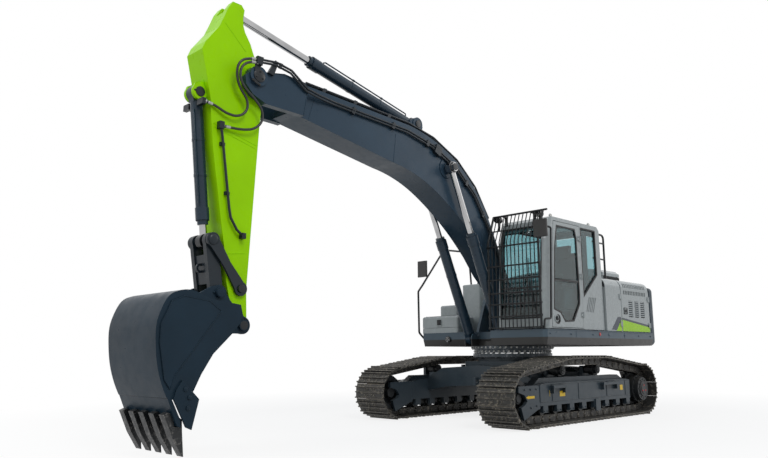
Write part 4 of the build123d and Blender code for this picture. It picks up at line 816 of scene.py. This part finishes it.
# right side: latch on the lid, filler caps, step plate, catch
right = Piece()
right.turned((-0.200, -1.160, 1.845), (0, 0, 1), [(0, 0.060), (0.018, 0.060), (0.024, 0.052)], 24)
right.turned((-0.350, -0.760, 2.195), (0, 0, 1), [(0, 0.066), (0.020, 0.066), (0.028, 0.055)], 24)
right.ring_of_bolts((-0.150, -0.760, 2.170), (0, 0, 1), 0.090, 8, 0.010)
for i in range(9):
    right.box(0.290 + 0.045 * i, 0.312 + 0.045 * i, -1.290, -0.640, 1.604, 1.608)
right.frame_strip([(0.300, 1.200), (0.640, 1.200), (0.640, 1.235), (0.300, 1.235)], -1.372, -1.361, 0.006)
right.done("tank_fittings", "house", "panel_grey", 0.001, material="rail_black")
catch = Piece()
catch.box(0.7165, 0.724, -1.000, -0.920, 1.455, 1.545)
catch.turned((0.724, -0.960, 1.480), (1, 0, 0), [(0, 0.014), (0.008, 0.012)], 16)
catch.done("lid_catch", "tool_box_lid", "panel_grey", 0.002, material="rail_black")

# ---- boom
weld = Piece()
for s in (-1, 1):
    y = s * 0.2102
    for a, b in [((5.126, 0.264), (5.042, 0.036)), ((3.487, 0.865), (3.359, 0.466)),
                 ((4.905, 0.470), (4.850, 0.060)), ((1.290, 0.880), (1.180, 0.370))]:
        weld.bead([at(BOOM, *p, y) for p in evenly(a, b, 12)], 0.0045, 6)
    # doublers round the lift pin and at the arm's fork
    ring = circle(LIFT_PIN, 0.146, 40)
    weld.bead([at(BOOM, *p, s * 0.2185) for p in ring + ring[:1]], 0.006, 6)
    weld.bead([at(BOOM, *p, s * 0.2665) for p in [(4.960, 0.005), (5.060, 0.380), (5.130, 0.395),
                                                  (5.425, 0.285), (5.596, 0.158)]], 0.006, 6)
weld.done("boom_welds", "boom", "boom_grey")
pins = Piece()
for s in (-1, 1):
    # arm pin: cap, ring and keeper bar
    pins.cap(BOOM, BOOM_END, s, 0.293, [(0, 0.078), (0.010, 0.078), (0.014, 0.070)], 32)
    pins.ring_of_bolts(at(BOOM, *BOOM_END, s * 0.307), (0, s, 0), 0.050, 3, 0.011, 0.4)
    pins.prism([(5.655, -0.118), (5.780, -0.118), (5.780, -0.088), (5.655, -0.088)],
               s * 0.293, s * 0.307, BOOM)
    for x in (5.675, 5.760):
        pins.bolt(at(BOOM, x, -0.103, s * 0.307), (0, s, 0), 0.010)
    # lift pin cap
    pins.cap(BOOM, LIFT_PIN, s, 0.392, [(0, 0.058), (0.008, 0.056), (0.010, 0.030)])
    # cylinder foot pin
    pins.cap(BOOM, REACH_PIN, s, 0.128, [(0, 0.055), (0.012, 0.053), (0.014, 0.030)], 26)
    pins.bolt(at(BOOM, 3.105, 1.430, s * 0.128), (0, s, 0), 0.011)
pins.done("boom_pins", "boom", "boom_grey", 0.001, material="pin_black")
foot = Piece()
for s in (-1, 1):
    foot.cap(BOOM, (0, 0), s, 0.352, [(0, 0.085), (0.012, 0.083), (0.015, 0.050)], 30)
    foot.bolt((0.158, s * 0.352, 1.895), (0, s, 0), 0.013)
    foot.cap(LIFT, (0, 0), s, 0.382, [(0, 0.056), (0.010, 0.054), (0.012, 0.030)], 26)
foot.done("foot_pins", "house", "frame_grey", 0.001, material="pin_black")

# clips' bolts and pipe unions on the boom
unions = Piece()
for s in (-1, 1):
    for x, z in [(4.300, 0.624), (3.600, 0.915), (1.350, 0.871)]:
        unions.bolt(at(BOOM, x, z, s * 0.256), (0, s, 0), 0.010)
    for x, z in [(3.700, 0.999), (4.300, 0.750), (4.800, 0.542)]:
        for y in (0.150, 0.190):
            # square to the boom's back
            unions.bolt(at(BOOM, x, z + 0.0625, s * y), at(BOOM, 0.383, 0.924) - at(BOOM, 0, 0), 0.008)
    for drop in (-0.020, 0.020):
        for (xa, za, ya), (xb, zb, yb) in [((2.560, 1.163, 0.238), (2.610, 1.160, 0.238)),
                                           ((2.740, 1.159, 0.238), (2.790, 1.158, 0.238)),
                                           ((5.520, 0.309, 0.310), (5.558, 0.298, 0.311))]:
            a, b = at(BOOM, xa, za + drop, s * ya), at(BOOM, xb, zb + drop, s * yb)
            unions.turned(a, b - a, [(0, 0.019), ((b - a).length, 0.019)], 6)
unions.done("boom_pipe_unions", "boom", "pipe_black", 0.0008)

# ---- cylinders
LIFT_Y = 0.306
for name, body, here, ys, length, radius in [
    ("boom_cylinder_glands", "boom_cylinder_barrels", LIFT, (LIFT_Y, -LIFT_Y),
     far(LIFT_FOOT, LIFT_EYE) - 1.040, 0.080),
    ("arm_cylinder_gland", "arm_cylinder_barrel", REACH, (0.0,), 2.040, 0.078),
    ("bucket_cylinder_gland", "bucket_cylinder_barrel", CURL, (0.0,), 1.490, 0.068),
]:
    both = Piece()
    ahead, upward = at(here, 1, 0) - at(here, 0, 0), at(here, 0, 1) - at(here, 0, 0)
    across = Vector((0, 1, 0))
    for y in ys:
        for spoke in spokes(upward, across, 10, 0.3):
            both.bolt(at(here, length - 0.050, 0, y) + spoke * (radius - 0.0005), ahead, 0.0075)
        # supply pipe along the barrel with two unions and bands
        way = (upward * 0.80 + across * 0.60 * (len(ys) == 1)).normalized()
        run = [at(here, x, 0, y) + way * (radius + lift) for x, lift in [
            (0.20, 0.004), (0.22, 0.024), (length - 0.24, 0.024), (length - 0.215, 0.006)]]
        both.bead(run, 0.010, 10)
        for t in (0.35, 0.62):
            a = at(here, length * t, 0, y)
            both.turned(a, ahead, [(0, radius + 0.001), (0.0, radius + 0.004), (0.030, radius + 0.004),
                                   (0.030, radius + 0.001)], 32, hollow=True)
            both.turned(a + way * (radius + 0.024), ahead, [(0, 0.015), (0.030, 0.015)], 12)
    both.done(name, body, "cylinder_grey", 0.0006)

# dark sleeves over the rod eyes
for name, body, (x, z), ys, radius in [
    ("boom_cylinder_eye_covers", "boom_cylinder_rods", LIFT_EYE, (-LIFT_Y, LIFT_Y), 0.087),
    ("arm_cylinder_eye_cover", "arm_cylinder_rod", REACH_EYE, (0.0,), 0.087),
    ("bucket_cylinder_eye_cover", "bucket_cylinder_rod", CURL_EYE, (0.0,), 0.081),
]:
    eyes = Piece()
    for y in ys:
        eyes.turned((x, y - 0.0468, z), (0, 1, 0), [(0, radius), (0.0936, radius)], 36)
    eyes.done(name, body, "cylinder_grey", 0.002, material="pin_black")

# ---- arm
seam = Piece()
for s in (-1, 1):
    y = s * 0.1652
    for a, b in [((0.676, 0.491), (0.804, -0.092)), ((0.716, 0.480), (0.844, -0.086)),
                 ((2.120, 0.236), (2.088, -0.023)), ((-0.560, 0.420), (-0.300, 0.120))]:
        seam.bead([at(ARM, *p, y) for p in evenly(a, b, 12)], 0.004, 6)
    ring = circle((0, 0), 0.130, 36)
    seam.bead([at(ARM, *p, s * 0.1725) for p in ring + ring[:1]], 0.004, 6)
    seam.bead([at(ARM, *p, s * 0.091) for p in [(0.180, 0.600), (0.245, 0.705), (0.330, 0.732),
                                                (0.410, 0.690), (0.425, 0.560)]], 0.0035, 6)
seam.done("arm_welds", "arm", "arm_green")
arm_pins = Piece()
for s in (-1, 1):
    # pin, distance out, radius, height and centre's radius of its cap, sides
    for pin, out, radius, rise, centre, sides in [(CURL_PIN, 0.098, 0.058, 0.010, 0.030, 28),
                                                  (GUIDE_PIN, 0.216, 0.046, 0.008, 0.025, 26),
                                                  (BUCKET_PIN, 0.242, 0.052, 0.008, 0.030, 26)]:
        arm_pins.cap(ARM, pin, s, out, [(0, radius), (rise, radius - 0.002), (rise + 0.002, centre)], sides)
    arm_pins.bolt(at(ARM, 0.330, 0.706, s * 0.098), (0, s, 0), 0.009)
arm_pins.done("arm_pins", "arm", "arm_green", 0.001, material="pin_black")
# points of the hoses on the left in millimetres: along, forward of and beside the arm
OUTER_HOSE = [(-176, 78, 312), (-150, 215, 310), (-45, 305, 296), (95, 290, 270), (215, 225, 255),
              (322, 108, 247), (462, 108, 240), (550, 225, 228), (538, 375, 212), (482, 485, 196),
              (465, 590, 188)]
INNER_HOSE = [(-136, 78, 312), (-118, 170, 312), (-25, 262, 302), (105, 262, 292), (205, 180, 284),
              (290, 30, 272), (395, -95, 260), (535, -105, 248), (640, -5, 236), (678, 125, 225),
              (690, 250, 212), (693, 355, 205)]


def arm_place(point, s):
    """World place of a hose point given in millimetres along, forward of and beside the arm."""
    return at(ARM, point[0] / 1000, point[1] / 1000, s * point[2] / 1000)


for end_name, ends, body in (("boom", (0, 1), "boom"), ("arm", (-1, -2), "arm")):
    sleeves = Piece()
    for s in (-1, 1):
        for route in (OUTER_HOSE, INNER_HOSE):
            tip, inner = arm_place(route[ends[0]], s), arm_place(route[ends[1]], s)
            way = (tip - inner).normalized()
            sleeves.turned(tip - way * 0.058, way, [(0, 0.0172), (0.004, 0.0184), (0.052, 0.0184),
                                                    (0.053, 0.0165), (0.083, 0.0165)], 24)
            sleeves.turned(tip + way * 0.018, way, [(0, 0.023), (0.018, 0.023)], 6)
    sleeves.done("hose_crimps_" + end_name, body, "pipe_black", 0.0006, material="zinc")

hose_bodies = []
for s, side_name in ((1, "left"), (-1, "right")):
    for which, route in (("outer", OUTER_HOSE), ("inner", INNER_HOSE)):
        curve = bpy.data.curves.new("hose", "CURVE")
        curve.dimensions = "3D"
        curve.bevel_depth = 0.0150
        curve.bevel_resolution = 5
        spline = curve.splines.new("NURBS")
        spline.points.add(len(route) - 1)
        for i, point in enumerate(route):
            spline.points[i].co = (*arm_place(point, s), 1)
        spline.order_u = 3
        spline.use_endpoint_u = True
        spline.resolution_u = 10
        curve.use_fill_caps = True
        line = bpy.data.objects.new("hose_line", curve)
        bpy.context.scene.collection.objects.link(line)
        bpy.context.view_layer.update()
        depsgraph = bpy.context.evaluated_depsgraph_get()
        mesh = bpy.data.meshes.new_from_object(line.evaluated_get(depsgraph))
        bpy.data.objects.remove(line)
        mesh.shade_smooth()
        hose = bpy.data.objects.new("arm_hose_" + which + "_" + side_name, mesh)
        bpy.context.scene.collection.objects.link(hose)
        mesh.materials.clear()
        mesh.materials.append(MAT["hose_black"])
        hose_bodies.append((hose, route, s))

# ---- linkage and bucket
guide = (GUIDE_EYE, heading(GUIDE_EYE, CURL_EYE))
reach = far(GUIDE_EYE, CURL_EYE)
plates = Piece()
for s in (-1, 1):
    plates.cap(guide, (reach, 0), s, 0.203, [(0, 0.060), (0.006, 0.060), (0.018, 0.046), (0.020, 0.025)])
plates.done("guide_link_caps", "guide_links", "link_black", 0.001)
caps = Piece()
for s in (-1, 1):
    caps.cap(ARM, BUCKET_PIN, s, 0.246, [(0, 0.060), (0.004, 0.060), (0.004, 0.044)])
    caps.cap(ARM, LINK_PIN, s, 0.246, [(0, 0.050), (0.006, 0.048), (0.008, 0.026)])
    for x, z in [(2.562, 0.385), (2.820, -0.030)]:
        caps.bolt(at(ARM, x, z, s * 0.218), (0, s, 0), 0.011)
    # welds of the ears and wear plates
    rim = [(2.690, 0.615), (2.782, 0.475), (3.429, 0.947), (3.560, 0.985), (3.470, 1.050), (3.120, 1.125),
           (2.945, 1.125), (2.715, 1.025), (2.662, 0.900)]
    caps.bead([at(ARM, *p, s * 0.5225) for p in rim + rim[:1]], 0.005, 6)
    for x, z in [(3.560, 0.830), (3.640, 0.780), (3.740, 0.790)]:
        caps.cap(ARM, (x, z), s, 0.535, [(0, 0.024), (0.010, 0.024), (0.014, 0.018)], 6)
caps.done("bucket_fittings", "bucket", "bucket_black", 0.001)
strips = Piece()
for i in (-2, -1, 0, 1, 2):
    y = 0.2125 * i
    for s in (-1, 1):
        strips.turned(at(ARM, 3.930, 0.902, y + s * 0.0475), (0, s, 0), [(0, 0.016), (0.006, 0.015)], 14)
    strips.bead([at(ARM, 3.800, 0.912, y - 0.049), at(ARM, 3.805, 0.911, y + 0.049)], 0.006, 6)
strips.done("tooth_pins", "bucket", "teeth_steel")

for hose, route, s in hose_bodies:
    upper = arm_place((-150, 200, 312), s)
    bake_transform(hose)
    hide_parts("arm_hoses")

# ---- stage, light and camera
def stage():
    """Pale floor, soft sky and three large lamps."""
    bpy.ops.mesh.primitive_plane_add(size=160, location=(0, 0, cad_box[0][2] - 0.002))
    floor = bpy.context.object
    floor.name = "floor"
    n, links, shader = tree("floor_white")
    shader.inputs["Roughness"].default_value = 0.9
    seen = seen_ray(n, links)
    white = wander(n, links, 0.2, 2, (0.92, 0.92, 0.92), (0.95, 0.95, 0.95))
    links.new(mixed(n, links, seen, (0.42, 0.41, 0.40), white), shader.inputs["Base Color"])
    # seen directly the floor is white, and whiter further out; it still takes the shadow
    length = n.new("ShaderNodeVectorMath")
    length.operation = "LENGTH"
    links.new(part_place(n), length.inputs[0])
    bright = span_map(n, links, length.outputs["Value"], 4.0, 9.0, 0.80, 1.0)
    glow, both = n.new("ShaderNodeEmission"), n.new("ShaderNodeMixShader")
    glow.inputs["Strength"].default_value = 1.0
    links.new(times(n, links, seen, bright), both.inputs["Fac"])
    links.new(shader.outputs[0], both.inputs[1])
    links.new(glow.outputs[0], both.inputs[2])
    links.new(both.outputs[0], n["Material Output"].inputs["Surface"])
    floor.data.materials.append(MAT["floor_white"])

    world = bpy.data.worlds.new("sky")
    bpy.context.scene.world = world
    world.use_nodes = True
    n, links = world.node_tree.nodes, world.node_tree.links
    back, white, mix = n["Background"], n.new("ShaderNodeBackground"), n.new("ShaderNodeMixShader")
    white.inputs["Color"].default_value = (1, 1, 1, 1)
    white.inputs["Strength"].default_value = 1.0
    back.inputs["Color"].default_value = (0.88, 0.94, 1.0, 1)
    back.inputs["Strength"].default_value = 0.5
    links.new(seen_ray(n, links), mix.inputs["Fac"])
    links.new(back.outputs[0], mix.inputs[1])
    links.new(white.outputs[0], mix.inputs[2])
    links.new(mix.outputs[0], n["World Output"].inputs["Surface"])

    # place, aim, size, watts
    for name, place, aim, size, power in [
        ("key", (7, 12, 14), (1.5, 0, 1.8), 6, 800),
        ("front", (16, -4, 10), (4, 0, 2.0), 7, 420),
        ("rear", (-10, 8, 9), (-1, 0, 2.0), 7, 240),
    ]:
        light = bpy.data.lights.new(name, "AREA")
        light.size = size
        light.energy = power
        lamp = bpy.data.objects.new(name, light)
        bpy.context.scene.collection.objects.link(lamp)
        lamp.location = place
        lamp.rotation_euler = (Vector(aim) - Vector(place)).to_track_quat("-Z", "Y").to_euler()


def camera():
    """Standing eye at the front left, close to the ground and tilted a little up."""
    place = Vector((9.8956, 6.8481, 0.9823))
    yaw, pitch, roll = math.radians(224.750), math.radians(10.001), -0.0046
    ahead = Vector((math.cos(yaw) * math.cos(pitch), math.sin(yaw) * math.cos(pitch), math.sin(pitch)))
    right = ahead.cross(Vector((0, 0, 1))).normalized()
    up = right.cross(ahead)
    across = right * math.cos(roll) + up * math.sin(roll)
    above = up * math.cos(roll) - right * math.sin(roll)
    eye = bpy.data.cameras.new("camera")
    eye.sensor_width = 36
    eye.lens = 33.24
    seat = bpy.data.objects.new("camera", eye)
    bpy.context.scene.collection.objects.link(seat)
    seat.matrix_world = Matrix((
        (across.x, above.x, -ahead.x, place.x),
        (across.y, above.y, -ahead.y, place.y),
        (across.z, above.z, -ahead.z, place.z),
        (0, 0, 0, 1)))
    bpy.context.scene.camera = seat


stage()
camera()
bpy.context.scene.view_settings.view_transform = "Standard"
